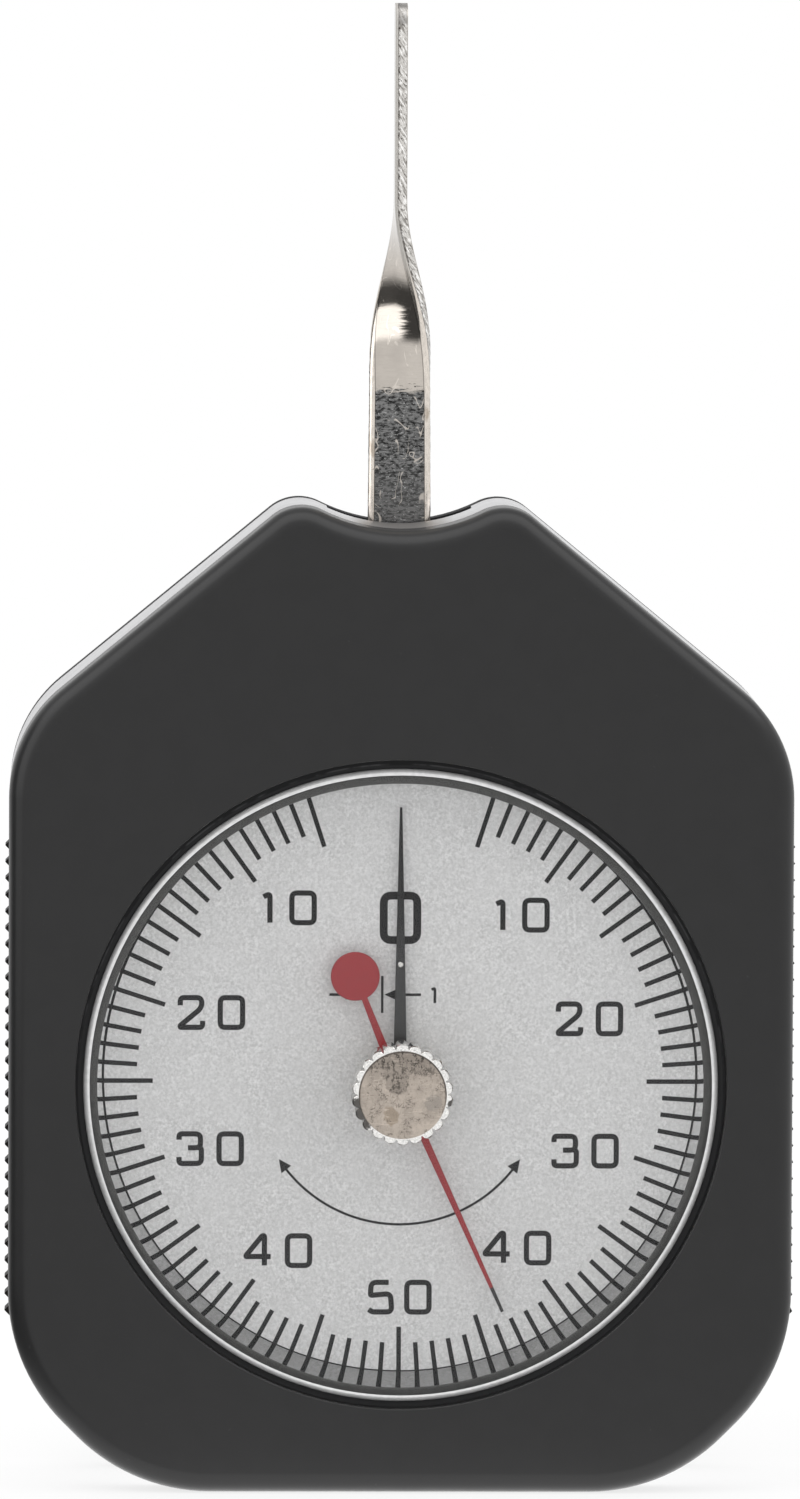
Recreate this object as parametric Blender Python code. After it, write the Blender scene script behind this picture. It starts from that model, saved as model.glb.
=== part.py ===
"""A dial tension gauge: a hand-held case with a round dial and a twisted steel stylus on top.

The stylus swings on an arbor inside the case. A toothed sector on the same arbor turns the pinion of
the pointer spindle, and a spiral spring on the arbor measures the force. A second, red pointer hangs
on the knob in the crystal and keeps the highest reading.

The dial faces -Y, the stylus points up +Z and the case stands on its flat base at z = 0. The origin
is the middle of the base. Depths run back from the front face of the case.
"""

import math

import bmesh
import bpy
from mathutils import Vector

MM = 0.001

# Case outline. Heights are above the base and corners are where the straight edges would meet.
WINDOW_RADIUS = 26.0 * MM
SIDE_LAND = 5.5 * MM
BASE_LAND = 6.7 * MM
BASE_CHAMFER = 10.0 * MM
BASE_CORNER_RADIUS = 15.1 * MM
SHOULDER_LAND = 2.5 * MM
SHOULDER_RADIUS = 11.2 * MM
HORN_RISE = 15.3 * MM
HORN_SPAN = 17.2 * MM
HORN_RADIUS = 3.7 * MM
NOTCH_DROP = 4.2 * MM
NOTCH_ARC_SHARE = 0.975

# Case depths, front to back
FRONT_SHELL_DEPTH = 5.4 * MM
FRAME_DEPTH = 11.5 * MM
BACK_COVER_DEPTH = 2.9 * MM
SEAM_GAP = 0.1 * MM
FRONT_PANEL = 1.6 * MM
SHELL_WALL = 1.8 * MM
FRAME_WALL = 2.6 * MM
COVER_WALL = 1.4 * MM
FRONT_FILLET = 1.7 * MM
BACK_FILLET = 1.1 * MM

# Serrated grips on both sides of the frame
GRIP_TEETH = 29
GRIP_PITCH = 1.33 * MM
GRIP_PROUD = 0.33 * MM
GRIP_SUNK = 0.34 * MM

# Case screws and the bosses that take them
BOSS_RADIUS = 3.0 * MM
BOSS_MERGE = 0.3 * MM
CASE_SCREW_RADIUS = 0.95 * MM
CASE_HEAD_RADIUS = 1.9 * MM
CASE_HEAD_HEIGHT = 1.1 * MM

# Crystal, ring and dial
CRYSTAL_GAP = 0.5 * MM
CRYSTAL_BEVEL = 0.5 * MM
CRYSTAL_BEVEL_DEPTH = 0.65 * MM
CRYSTAL_RECESS = 0.9 * MM
FLANGE_LIP = 1.0 * MM
FLANGE_THICKNESS = 0.6 * MM
RING_LAND = 1.13 * MM
RING_UNDERCUT = 0.4 * MM
RING_DEPTH = 2.4 * MM
DIAL_THICKNESS = 0.8 * MM
DIAL_HOLE_RADIUS = 2.4 * MM

# Reset knob, its bush in the crystal and the red pointer
KNOB_RADIUS = 3.7 * MM
KNOB_RIB_HEIGHT = 0.4 * MM
KNOB_RIBS = 24
KNOB_HEIGHT = 4.3 * MM
RIB_SHARES = ((0.0, 0.0), (0.2, 0.0), (0.4, 0.9), (0.8, 0.9))
KNOB_NECK_RADIUS = 2.7 * MM
KNOB_NECK = 1.0 * MM
KNOB_CROWN = 0.25 * MM
KNOB_BORE_FLOOR = 1.3 * MM
KNOB_SHAFT_RADIUS = 0.9 * MM
BUSH_WALL = 0.7 * MM
BUSH_LIP = 0.8 * MM
BUSH_FLANGE = 0.5 * MM
NUT_THICKNESS = 0.5 * MM
WASHER_THICKNESS = 0.15 * MM
WASHER_RADIUS = 1.9 * MM
HUB_FLANGE = 0.3 * MM
HUB_SPIGOT_WALL = 0.35 * MM
EYE_BORDER = 0.6 * MM
EYE_END_SHARE = 1.2
RED_TIP_GAP = 4.24 * MM
RED_TIP_WIDTH = 0.26 * MM
RED_TAIL_REACH = 9.5 * MM
RED_TAIL_LEAN = math.radians(1.8)
RED_DISC_RADIUS = 1.97 * MM
RED_STEM_WIDTH = 0.66 * MM
RED_STEM_END_WIDTH = 0.5 * MM
RED_ANGLE = math.radians(155.6)

# Black pointer
POINTER_TIP_GAP = 2.2 * MM
POINTER_WIDTH = 1.0 * MM
POINTER_TIP_WIDTH = 0.18 * MM
POINTER_SHOULDER_SHARE = 1.5
BLADE_THICKNESS = 0.22 * MM
DRAG_PIN_REACH = 9.7 * MM
DRAG_PIN_RADIUS = 0.22 * MM

# Movement plates
PLATE_THICKNESS = 1.2 * MM
PLATE_EDGE_GAP = 0.7 * MM
PLATE_CORNER_RADIUS = 2.0 * MM
BRIDGE_THICKNESS = 1.0 * MM
BRIDGE_BORDER = 3.0 * MM
PILLAR_RADIUS = 1.8 * MM
PILLAR_SPIGOT_RADIUS = 1.0 * MM
PILLAR_TOP_CLEARANCE = 2.3 * MM
PILLAR_TOP_RISE = 1.0 * MM
PILLAR_LOW_CLEARANCE = 1.1 * MM
PILLAR_LOW_DROP = 6.7 * MM
MOVEMENT_SCREW_RADIUS = 0.75 * MM
MOVEMENT_HEAD_RADIUS = 1.5 * MM
MOVEMENT_HEAD_HEIGHT = 0.65 * MM
MOVEMENT_SCREW_REACH = 3.0 * MM
LUG_RADIUS = 3.0 * MM
LUG_DEPTH = 5.0 * MM

# Arbor, spindle and their bushes
ARBOR_RADIUS = 1.0 * MM
SPINDLE_RADIUS = 0.75 * MM
BEARING_WALL = 0.9 * MM
BEARING_LIP = 0.7 * MM
BEARING_FLANGE = 0.6 * MM

# Gearing: the sector is a part of a gear of SECTOR_FULL_TEETH
MODULE = 0.25 * MM
PINION_TEETH = 16
SECTOR_FULL_TEETH = 240
SECTOR_TEETH = 23
PINION_DEPTH = 1.8 * MM
SECTOR_THICKNESS = 1.0 * MM
SECTOR_BAND = 3.0 * MM
SECTOR_ARM_WIDTH = 6.0 * MM
SECTOR_HUB_WIDTH = 8.4 * MM
SECTOR_HUB_SHARES = (0.6, 1.2)
BACKLASH = 0.06 * MM
PRESSURE_ANGLE = math.radians(20)
PINION_FLANK_SHARES = (0.0, 0.5, 1.0)
SECTOR_FLANK_SHARES = (0.0, 1.0)
ADDENDUM_SHARE = 0.8
DEDENDUM_SHARE = 1.15

# Stylus: a strip that stands flat to the dial inside the case and is twisted a quarter turn above it
STYLUS_WIDTH = 5.1 * MM
STYLUS_TOP_WIDTH = 4.7 * MM
STYLUS_THICKNESS = 1.0 * MM
STYLUS_EDGE_CHAMFER = 0.2 * MM
STYLUS_TIP_RADIUS = 1.6 * MM
STYLUS_TIP_SHARES = (1.0, 0.5, 0.2, 0.0)
STYLUS_FOOT_DROP = 3.6 * MM
TWIST_RISE = 7.1 * MM
TWIST_LENGTH = 16.5 * MM
BLADE_LENGTH = 15.9 * MM
TWIST_SECTIONS = 14
STYLUS_SWING = math.radians(12)
TONGUE_RISE = 8.6 * MM
TONGUE_SCREW_RISES = (3.9 * MM, 6.7 * MM)
SLOT_SIDE_GAP = 0.4 * MM
SLOT_FRONT_GAP = 0.8 * MM
SLOT_BACK_GAP = 1.4 * MM
BRIDGE_GAP = 0.9 * MM

# Hub, springs, weight and stops
HUB_RADIUS = 2.6 * MM
HUB_SPIGOT_RADIUS = 1.6 * MM
MAIN_SPRING_TURNS = 4
MAIN_SPRING_PITCH = 1.05 * MM
MAIN_SPRING_STRIP = 0.3 * MM
MAIN_SPRING_WIDTH = 2.0 * MM
HAIRSPRING_TURNS = 5
HAIRSPRING_PITCH = 0.7 * MM
HAIRSPRING_STRIP = 0.16 * MM
HAIRSPRING_WIDTH = 0.7 * MM
COLLET_RADIUS = 1.6 * MM
COLLET_HEIGHT = 1.0 * MM
STUD_RADIUS = 0.8 * MM
WEIGHT_RADIUS = 2.8 * MM
WEIGHT_HEIGHT = 3.4 * MM
WEIGHT_REACH_SHARE = 0.67
WEIGHT_SPIGOT_RADIUS = 1.0 * MM
STOP_PIN_RADIUS = 0.8 * MM
STOP_PIN_REACH_SHARE = 0.5

# Clearances
SEAT_GAP = 0.1 * MM
RUNNING_GAP = 0.08 * MM
SHAKE = 0.12 * MM
CUT_OVERRUN = 2.0 * MM

# Facets
ARC_STEP = math.radians(15)
WINDOW_FACETS = 60
ROUND_FACETS = 16
SMALL_FACETS = 10
SPRING_FACETS = 16
FILLET_SEGMENTS = 3
MERGE_DISTANCE = 0.00001 * MM

# Planes across the depth, worked out from the sizes above
BODY_DEPTH = FRONT_SHELL_DEPTH + FRAME_DEPTH + BACK_COVER_DEPTH + 2 * SEAM_GAP
SHELL_FRONT = -BODY_DEPTH / 2
SHELL_BACK = SHELL_FRONT + FRONT_SHELL_DEPTH
FRAME_FRONT = SHELL_BACK + SEAM_GAP
FRAME_BACK = FRAME_FRONT + FRAME_DEPTH
COVER_FRONT = FRAME_BACK + SEAM_GAP
COVER_BACK = COVER_FRONT + BACK_COVER_DEPTH
PANEL_BACK = SHELL_FRONT + FRONT_PANEL
CRYSTAL_FRONT = SHELL_FRONT + CRYSTAL_RECESS
FLANGE_FRONT = PANEL_BACK + SEAT_GAP
CRYSTAL_BACK = FLANGE_FRONT + FLANGE_THICKNESS
RING_FRONT = CRYSTAL_BACK + SEAT_GAP
RING_BACK = RING_FRONT + RING_DEPTH
DIAL_FRONT = RING_BACK + SEAT_GAP
DIAL_BACK = DIAL_FRONT + DIAL_THICKNESS
PLATE_FRONT = DIAL_BACK + SEAT_GAP
PLATE_BACK = PLATE_FRONT + PLATE_THICKNESS
BEARING_BACK = PLATE_BACK + SEAT_GAP + BEARING_FLANGE

# The red pointer hangs from the crystal
BUSH_FRONT = CRYSTAL_FRONT - SEAT_GAP - BUSH_FLANGE
KNOB_BACK = BUSH_FRONT - SHAKE
KNOB_FRONT = KNOB_BACK - KNOB_NECK - KNOB_HEIGHT
NUT_BACK = CRYSTAL_BACK + SEAT_GAP + NUT_THICKNESS
WASHER_FRONT = NUT_BACK + SEAT_GAP
RED_BLADE_FRONT = WASHER_FRONT + WASHER_THICKNESS + SEAT_GAP
RED_HUB_BACK = RED_BLADE_FRONT + BLADE_THICKNESS + SEAT_GAP + HUB_FLANGE

# The pointer hub stands behind the red one, the movement behind the plate
BLADE_FRONT = RED_HUB_BACK + SHAKE
POINTER_HUB_BACK = BLADE_FRONT + BLADE_THICKNESS + SEAT_GAP + HUB_FLANGE
COLLET_FRONT = BEARING_BACK + SHAKE
HUB_FRONT = BEARING_BACK + SHAKE
MAIN_SPRING_FRONT = HUB_FRONT + SHAKE
STYLUS_CENTRE = FRAME_BACK - SLOT_BACK_GAP - STYLUS_THICKNESS / 2
STYLUS_FRONT = STYLUS_CENTRE - STYLUS_THICKNESS / 2
STYLUS_BACK = STYLUS_CENTRE + STYLUS_THICKNESS / 2
SECTOR_BACK = STYLUS_FRONT - SEAT_GAP
SECTOR_FRONT = SECTOR_BACK - SECTOR_THICKNESS
BRIDGE_FRONT = STYLUS_BACK + BRIDGE_GAP
BRIDGE_BACK = BRIDGE_FRONT + BRIDGE_THICKNESS
SLOT_FRONT = STYLUS_FRONT - SLOT_FRONT_GAP

# Radii round the spindle
CRYSTAL_RADIUS = WINDOW_RADIUS - CRYSTAL_GAP
FLANGE_RADIUS = WINDOW_RADIUS + FLANGE_LIP
RING_OUTER = FLANGE_RADIUS
RING_INNER = CRYSTAL_RADIUS - RING_LAND
DIAL_RADIUS = FLANGE_RADIUS - SEAT_GAP
BUSH_BORE = KNOB_SHAFT_RADIUS + RUNNING_GAP
BUSH_RADIUS = BUSH_BORE + BUSH_WALL
RED_SPIGOT_RADIUS = KNOB_SHAFT_RADIUS + SEAT_GAP + HUB_SPIGOT_WALL
RED_EYE_RADIUS = RED_SPIGOT_RADIUS + SEAT_GAP + EYE_BORDER
SPIGOT_RADIUS = SPINDLE_RADIUS + SEAT_GAP + HUB_SPIGOT_WALL
EYE_RADIUS = SPIGOT_RADIUS + SEAT_GAP + EYE_BORDER
POINTER_REACH = RING_INNER - POINTER_TIP_GAP
RED_TIP_REACH = RING_INNER - RED_TIP_GAP

# Gear sizes. The two pitch circles meet, which sets the distance from spindle to arbor.
SECTOR_RADIUS = SECTOR_FULL_TEETH * MODULE / 2
PINION_RADIUS = PINION_TEETH * MODULE / 2
WEIGHT_REACH = SECTOR_RADIUS * WEIGHT_REACH_SHARE
STOP_PIN_REACH = SECTOR_RADIUS * STOP_PIN_REACH_SHARE

# Places in the case, from the base up
HALF_WIDTH = WINDOW_RADIUS + SIDE_LAND
SPINDLE_HEIGHT = WINDOW_RADIUS + BASE_LAND
SHOULDER_HEIGHT = SPINDLE_HEIGHT + WINDOW_RADIUS + SHOULDER_LAND
PIVOT_HEIGHT = SPINDLE_HEIGHT + SECTOR_RADIUS + PINION_RADIUS
HORN_HEIGHT = PIVOT_HEIGHT + HORN_RISE
TWIST_START_HEIGHT = HORN_HEIGHT + TWIST_RISE
TWIST_END_HEIGHT = TWIST_START_HEIGHT + TWIST_LENGTH
STYLUS_TIP_HEIGHT = TWIST_END_HEIGHT + BLADE_LENGTH
BOSS_INSET = FRAME_WALL + BOSS_RADIUS - BOSS_MERGE
LUG_INSET = LUG_RADIUS - BOSS_MERGE

# Springs and their studs, each stud just outside the last turn
MAIN_SPRING_INNER = HUB_RADIUS + SEAT_GAP + MAIN_SPRING_STRIP / 2
MAIN_SPRING_OUTER = MAIN_SPRING_INNER + MAIN_SPRING_TURNS * MAIN_SPRING_PITCH + MAIN_SPRING_STRIP / 2
MAIN_STUD_REACH = MAIN_SPRING_OUTER + SEAT_GAP + STUD_RADIUS
HAIRSPRING_INNER = COLLET_RADIUS + SEAT_GAP + HAIRSPRING_STRIP / 2
HAIRSPRING_OUTER = HAIRSPRING_INNER + HAIRSPRING_TURNS * HAIRSPRING_PITCH + HAIRSPRING_STRIP / 2
HAIR_STUD_REACH = HAIRSPRING_OUTER + SEAT_GAP + STUD_RADIUS
PILLAR_TOP_REACH = MAIN_STUD_REACH + STUD_RADIUS + PILLAR_TOP_CLEARANCE + PILLAR_RADIUS
PILLAR_LOW_REACH = HAIR_STUD_REACH + STUD_RADIUS + PILLAR_LOW_CLEARANCE + PILLAR_RADIUS

# Colours, as red, green, blue, and the finish, as roughness and metallic
MATERIALS = {
    "black_plastic": ((0.035, 0.035, 0.036), 0.55, 0.0),
    "satin_aluminium": ((0.72, 0.72, 0.73), 0.38, 1.0),
    "dark_anodised": ((0.09, 0.09, 0.09), 0.40, 0.6),
    "nickel_steel": ((0.66, 0.63, 0.58), 0.28, 1.0),
    "brass": ((0.72, 0.55, 0.26), 0.32, 1.0),
    "spring_steel": ((0.30, 0.32, 0.38), 0.30, 1.0),
    "clear_acrylic": ((0.90, 0.93, 0.93), 0.05, 0.0),
    "dial_silver": ((0.60, 0.60, 0.60), 0.45, 0.2),
    "pointer_black": ((0.03, 0.03, 0.03), 0.45, 0.0),
    "pointer_red": ((0.55, 0.07, 0.09), 0.35, 0.0),
}


def material(name):
    """The material of that name, made when it is first asked for."""
    made = bpy.data.materials.get(name)
    if made is None:
        colour, roughness, metallic = MATERIALS[name]
        made = bpy.data.materials.new(name)
        made.use_nodes = True
        shader = made.node_tree.nodes["Principled BSDF"]
        shader.inputs["Base Color"].default_value = (*colour, 1.0)
        shader.inputs["Roughness"].default_value = roughness
        shader.inputs["Metallic"].default_value = metallic
    return made


def link(name, bm, finish, parent=None, place=(0.0, 0.0)):
    """An object from a bmesh. place is its x and z, so a turned piece has its origin on its axis."""
    bmesh.ops.recalc_face_normals(bm, faces=bm.faces)
    mesh = bpy.data.meshes.new(name)
    bm.to_mesh(mesh)
    bm.free()
    obj = bpy.data.objects.new(name, mesh)
    obj.location = (place[0], 0.0, place[1])
    obj.parent = parent
    bpy.context.scene.collection.objects.link(obj)
    if finish:
        mesh.materials.append(material(finish))
        mesh.shade_smooth()
        mesh.set_sharp_from_angle(angle=math.radians(35))
    return obj


def axis_empty(name, height, angle=0.0):
    """An empty on a turning axis, parallel to Y at that height. What turns there is its child."""
    empty = bpy.data.objects.new(name, None)
    empty.location = (0.0, 0.0, height)
    empty.rotation_euler = (0.0, angle, 0.0)
    bpy.context.scene.collection.objects.link(empty)
    return empty


def polar(radius, angle):
    """A point in the dial's plane. The angle runs clockwise from twelve o'clock, as on the dial."""
    return Vector((radius * math.sin(angle), radius * math.cos(angle)))


def turned_back(points):
    """The same closed outline run the other way round."""
    return list(reversed(points))


def arcs_of(corners):
    """One list of points for each rounded corner (x, z, radius) of an anticlockwise polygon."""
    arcs = []
    for i, (x, z, radius) in enumerate(corners):
        here = Vector((x, z))
        if radius <= 0:
            arcs.append([here])
            continue
        before = (Vector(corners[i - 1][:2]) - here).normalized()
        after = (Vector(corners[(i + 1) % len(corners)][:2]) - here).normalized()
        half = before.angle(after) / 2
        centre = here + (before + after).normalized() * (radius / math.sin(half))
        start = here + before * (radius / math.tan(half)) - centre
        turn = math.copysign(math.pi - 2 * half, after.cross(before))
        steps = max(2, round(abs(turn) / ARC_STEP))
        arc = []
        for k in range(steps + 1):
            cos, sin = math.cos(turn * k / steps), math.sin(turn * k / steps)
            arc.append(centre + Vector((start.x * cos - start.y * sin, start.x * sin + start.y * cos)))
        arcs.append(arc)
    return arcs


def rounded(corners):
    """The outline of a polygon with rounded corners, as one list of points."""
    return [point for arc in arcs_of(corners) for point in arc]


def inset(corners, distance):
    """The corners of the same polygon with every edge moved inwards, its arcs kept concentric."""
    moved = []
    for i, (x, z, radius) in enumerate(corners):
        here = Vector((x, z))
        before = (Vector(corners[i - 1][:2]) - here).normalized()
        after = (Vector(corners[(i + 1) % len(corners)][:2]) - here).normalized()
        half = before.angle(after) / 2
        inwards = 1 if after.cross(before) > 0 else -1
        here += (before + after).normalized() * (inwards * distance / math.sin(half))
        moved.append((here.x, here.y, max(radius - inwards * distance, distance / 4)))
    return moved


def prism(name, outline, front, back, finish, parent=None, place=(0.0, 0.0)):
    """A plate with that outline, from front to back along Y."""
    bm = bmesh.new()
    face = bm.faces.new([bm.verts.new((p[0], front, p[1])) for p in outline])
    grown = bmesh.ops.extrude_face_region(bm, geom=[face])["geom"]
    corners = [v for v in grown if isinstance(v, bmesh.types.BMVert)]
    bmesh.ops.translate(bm, verts=corners, vec=(0.0, back - front, 0.0))
    return link(name, bm, finish, parent, place)


def fillet_rim(obj, plane, width):
    """Rounds the outer edge of a prism where it meets the plane y = plane."""
    bm = bmesh.new()
    bm.from_mesh(obj.data)
    rim = [e for e in bm.edges if all(abs(v.co.y - plane) < MERGE_DISTANCE for v in e.verts)]
    bmesh.ops.bevel(
        bm,
        geom=rim,
        offset=width,
        segments=FILLET_SEGMENTS,
        profile=0.5,
        affect="EDGES",
        clamp_overlap=False,
        material=-1,
    )
    bm.to_mesh(obj.data)
    bm.free()


def turned(name, profile, finish, parent=None, place=(0.0, 0.0), facets=ROUND_FACETS):
    """A lathe piece round an axis along Y. Its (radius, y) profile ends on the axis or closes up."""
    bm = bmesh.new()
    verts = [bm.verts.new((radius, y, 0.0)) for radius, y in profile]
    closed = profile[0][0] > 0
    edges = [bm.edges.new(pair) for pair in zip(verts, verts[1:])]
    if closed:
        edges.append(bm.edges.new((verts[-1], verts[0])))
    bmesh.ops.spin(
        bm,
        geom=verts + edges,
        cent=(0.0, 0.0, 0.0),
        axis=(0.0, 1.0, 0.0),
        angle=math.tau,
        steps=facets,
        use_merge=True,
    )
    bmesh.ops.remove_doubles(bm, verts=bm.verts, dist=MERGE_DISTANCE)
    return link(name, bm, finish, parent, place)


def disc(radius, front, back):
    """The profile of a plain round bar."""
    return [(0.0, front), (radius, front), (radius, back), (0.0, back)]


def sleeve(bore, radius, front, back):
    """The profile of a plain ring."""
    return [(bore, front), (radius, front), (radius, back), (bore, back)]


def boolean(obj, tool, operation="DIFFERENCE"):
    """Cuts or joins with a tool object, which is a guide and not a piece."""
    modifier = obj.modifiers.new(tool.name, "BOOLEAN")
    modifier.operation = operation
    modifier.object = tool
    modifier.solver = "EXACT"
    tool.hide_render = True
    tool.display_type = "WIRE"


def round_bars(name, holes, front, back, facets=SMALL_FACETS, parent=None, place=(0.0, 0.0)):
    """Round bars along Y, each (x, z, radius), as one tool object."""
    bm = bmesh.new()
    for x, z, radius in holes:
        ring = [polar(radius, math.tau * k / facets) for k in range(facets)]
        face = bm.faces.new([bm.verts.new((x + p.x, front, z + p.y)) for p in ring])
        grown = bmesh.ops.extrude_face_region(bm, geom=[face])["geom"]
        moved = [v for v in grown if isinstance(v, bmesh.types.BMVert)]
        bmesh.ops.translate(bm, verts=moved, vec=(0.0, back - front, 0.0))
    return link(name, bm, None, parent, place)


def drill(obj, holes, front, back, facets=SMALL_FACETS):
    """Cuts round holes, each (x, z, radius), in one pass."""
    place = (obj.location.x, obj.location.z)
    boolean(obj, round_bars(obj.name + "_drill", holes, front, back, facets, obj.parent, place))


def sized(places, radius):
    """Places with one radius, for round_bars and drill."""
    return [(x, z, radius) for x, z in places]


def mirrored(points):
    """Both sides of a list of places given for the right-hand side."""
    return [(side * x, z) for x, z in points for side in (1, -1)]


# Outline of the case, anticlockwise from the base
def notch_corner(shoulder, horn):
    """The notch between the horns. Its arc takes a share of the edge that the horns' rounding leaves."""
    low = Vector((0.0, HORN_HEIGHT - NOTCH_DROP))
    top, down_slope = Vector(horn[:2]), Vector(shoulder[:2]) - Vector(horn[:2])
    half_horn = down_slope.angle(low - top) / 2
    half_notch = (top - low).angle(Vector((0.0, 1.0)))
    room = (top - low).length - HORN_RADIUS / math.tan(half_horn)
    return (low.x, low.y, NOTCH_ARC_SHARE * room * math.tan(half_notch))


def case_corners():
    base = [
        (HALF_WIDTH - BASE_CHAMFER, 0.0, BASE_CORNER_RADIUS),
        (HALF_WIDTH, BASE_CHAMFER, BASE_CORNER_RADIUS),
        (HALF_WIDTH, SHOULDER_HEIGHT, SHOULDER_RADIUS),
        (HORN_SPAN / 2, HORN_HEIGHT, HORN_RADIUS),
    ]
    return base + [notch_corner(base[2], base[3])] + [(-x, z, radius) for x, z, radius in turned_back(base)]


def grip_edge(side):
    """The serrations of one side, from the bottom up."""
    bottom = SPINDLE_HEIGHT - GRIP_PITCH * GRIP_TEETH / 2
    points = [Vector((side * (HALF_WIDTH - GRIP_SUNK), bottom))]
    for k in range(GRIP_TEETH):
        points.append(Vector((side * (HALF_WIDTH + GRIP_PROUD), bottom + GRIP_PITCH * (k + 0.5))))
        points.append(Vector((side * (HALF_WIDTH - GRIP_SUNK), bottom + GRIP_PITCH * (k + 1))))
    return points


def frame_outline():
    """The case outline with the grips let into its straight sides."""
    arcs = arcs_of(case_corners())
    low, high = grip_edge(1)[0].y, grip_edge(1)[-1].y
    lower_right, upper_right, upper_left, lower_left = 1, 2, 6, 7
    for i in (lower_right, upper_right, upper_left, lower_left):
        arcs[i] = [p for p in arcs[i] if not low < p.y < high]
    arcs[lower_right] += grip_edge(1)
    arcs[upper_left] += turned_back(grip_edge(-1))
    return [point for arc in arcs for point in arc]


def boss_places():
    """The four case screws, tucked into the corners at one distance from the sloping walls."""
    corners = case_corners()
    places = []
    for first, second in ((0, 1), (2, 3)):
        a, b = Vector(corners[first][:2]), Vector(corners[second][:2])
        along = (b - a).normalized()
        inwards = Vector((-along.y, along.x))
        middle = a + (b - a) / 2 if first == 0 else a + along * (BOSS_INSET + BOSS_RADIUS)
        places.append(tuple(middle + inwards * BOSS_INSET))
    return mirrored(places)


def lug_places():
    """The four lugs that carry the movement plate, just clear of the crystal's flange."""
    x = HALF_WIDTH - FRAME_WALL - LUG_INSET
    clear = FLANGE_RADIUS + MOVEMENT_HEAD_RADIUS + SHAKE
    rise = math.sqrt(max(clear * clear - x * x, 0.0))
    return mirrored([(x, SPINDLE_HEIGHT - rise), (x, SPINDLE_HEIGHT + rise)])


def pillar_places():
    """The four pillars between the plate and the rear bridge, clear of the swinging sector."""
    return mirrored(
        [
            (PILLAR_TOP_REACH, PIVOT_HEIGHT + PILLAR_TOP_RISE),
            (PILLAR_LOW_REACH, SPINDLE_HEIGHT - PILLAR_LOW_DROP),
        ]
    )


def stop_pin_places():
    """Pins that the sector's arm meets just past full scale."""
    reach = SECTOR_ARM_WIDTH / 2 + STOP_PIN_RADIUS + SHAKE
    angle = STYLUS_SWING + math.asin(reach / STOP_PIN_REACH)
    place = polar(STOP_PIN_REACH, angle)
    return mirrored([(place.x, PIVOT_HEIGHT - place.y)])


# The case
def front_shell():
    shell = prism("front_shell", rounded(case_corners()), SHELL_FRONT, SHELL_BACK, "black_plastic")
    fillet_rim(shell, SHELL_FRONT, FRONT_FILLET)
    hollow = prism(
        "front_shell_hollow",
        rounded(inset(case_corners(), SHELL_WALL)),
        PANEL_BACK,
        SHELL_BACK + CUT_OVERRUN,
        None,
    )
    posts = sized(boss_places(), BOSS_RADIUS)
    drill(hollow, posts, PANEL_BACK - CUT_OVERRUN, SHELL_BACK + 2 * CUT_OVERRUN, ROUND_FACETS)
    boolean(shell, hollow)
    window = turned(
        "front_shell_window",
        disc(WINDOW_RADIUS, SHELL_FRONT - CUT_OVERRUN, PANEL_BACK + CUT_OVERRUN / 2),
        None,
        place=(0.0, SPINDLE_HEIGHT),
        facets=WINDOW_FACETS,
    )
    boolean(shell, window)
    pilots = sized(boss_places(), CASE_SCREW_RADIUS + SEAT_GAP)
    drill(shell, pilots, PANEL_BACK, SHELL_BACK + CUT_OVERRUN)


def middle_frame():
    frame = prism("middle_frame", frame_outline(), FRAME_FRONT, FRAME_BACK, "satin_aluminium")
    hollow = prism(
        "middle_frame_hollow",
        rounded(inset(case_corners(), FRAME_WALL)),
        FRAME_FRONT - CUT_OVERRUN,
        FRAME_BACK + CUT_OVERRUN,
        None,
    )
    bosses = sized(boss_places(), BOSS_RADIUS)
    drill(hollow, bosses, FRAME_FRONT - 2 * CUT_OVERRUN, FRAME_BACK + 2 * CUT_OVERRUN, ROUND_FACETS)
    lug_front = PLATE_BACK + SEAT_GAP
    lugs = sized(lug_places(), LUG_RADIUS)
    boolean(hollow, round_bars("middle_frame_lugs", lugs, lug_front, lug_front + LUG_DEPTH))
    boolean(frame, hollow)
    through = sized(boss_places(), CASE_SCREW_RADIUS + SEAT_GAP)
    drill(frame, through, FRAME_FRONT - CUT_OVERRUN, FRAME_BACK + CUT_OVERRUN)
    boolean(frame, stylus_slot())
    holes = sized(lug_places(), MOVEMENT_SCREW_RADIUS + SEAT_GAP)
    end = PLATE_BACK + MOVEMENT_SCREW_REACH + SEAT_GAP
    boolean(frame, round_bars("middle_frame_lug_holes", holes, PLATE_BACK - CUT_OVERRUN, end))


def notch_floor():
    """The height of the lowest point of the rounded notch."""
    return min(point.y for point in arcs_of(case_corners())[4])


def slot_half_width():
    """Half of the slot's width: the swing of the stylus where it leaves the case, and a side gap."""
    rim = notch_floor() - PIVOT_HEIGHT + NOTCH_DROP / 4
    swing = math.tan(STYLUS_SWING) * rim
    return swing + STYLUS_WIDTH / 2 / math.cos(STYLUS_SWING) + SLOT_SIDE_GAP


def stylus_slot():
    half = slot_half_width()
    low, high = notch_floor() - 2 * FRAME_WALL, STYLUS_TIP_HEIGHT
    outline = [(-half, low), (half, low), (half, high), (-half, high)]
    return prism("middle_frame_slot", outline, SLOT_FRONT, FRAME_BACK + CUT_OVERRUN, None)


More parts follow.
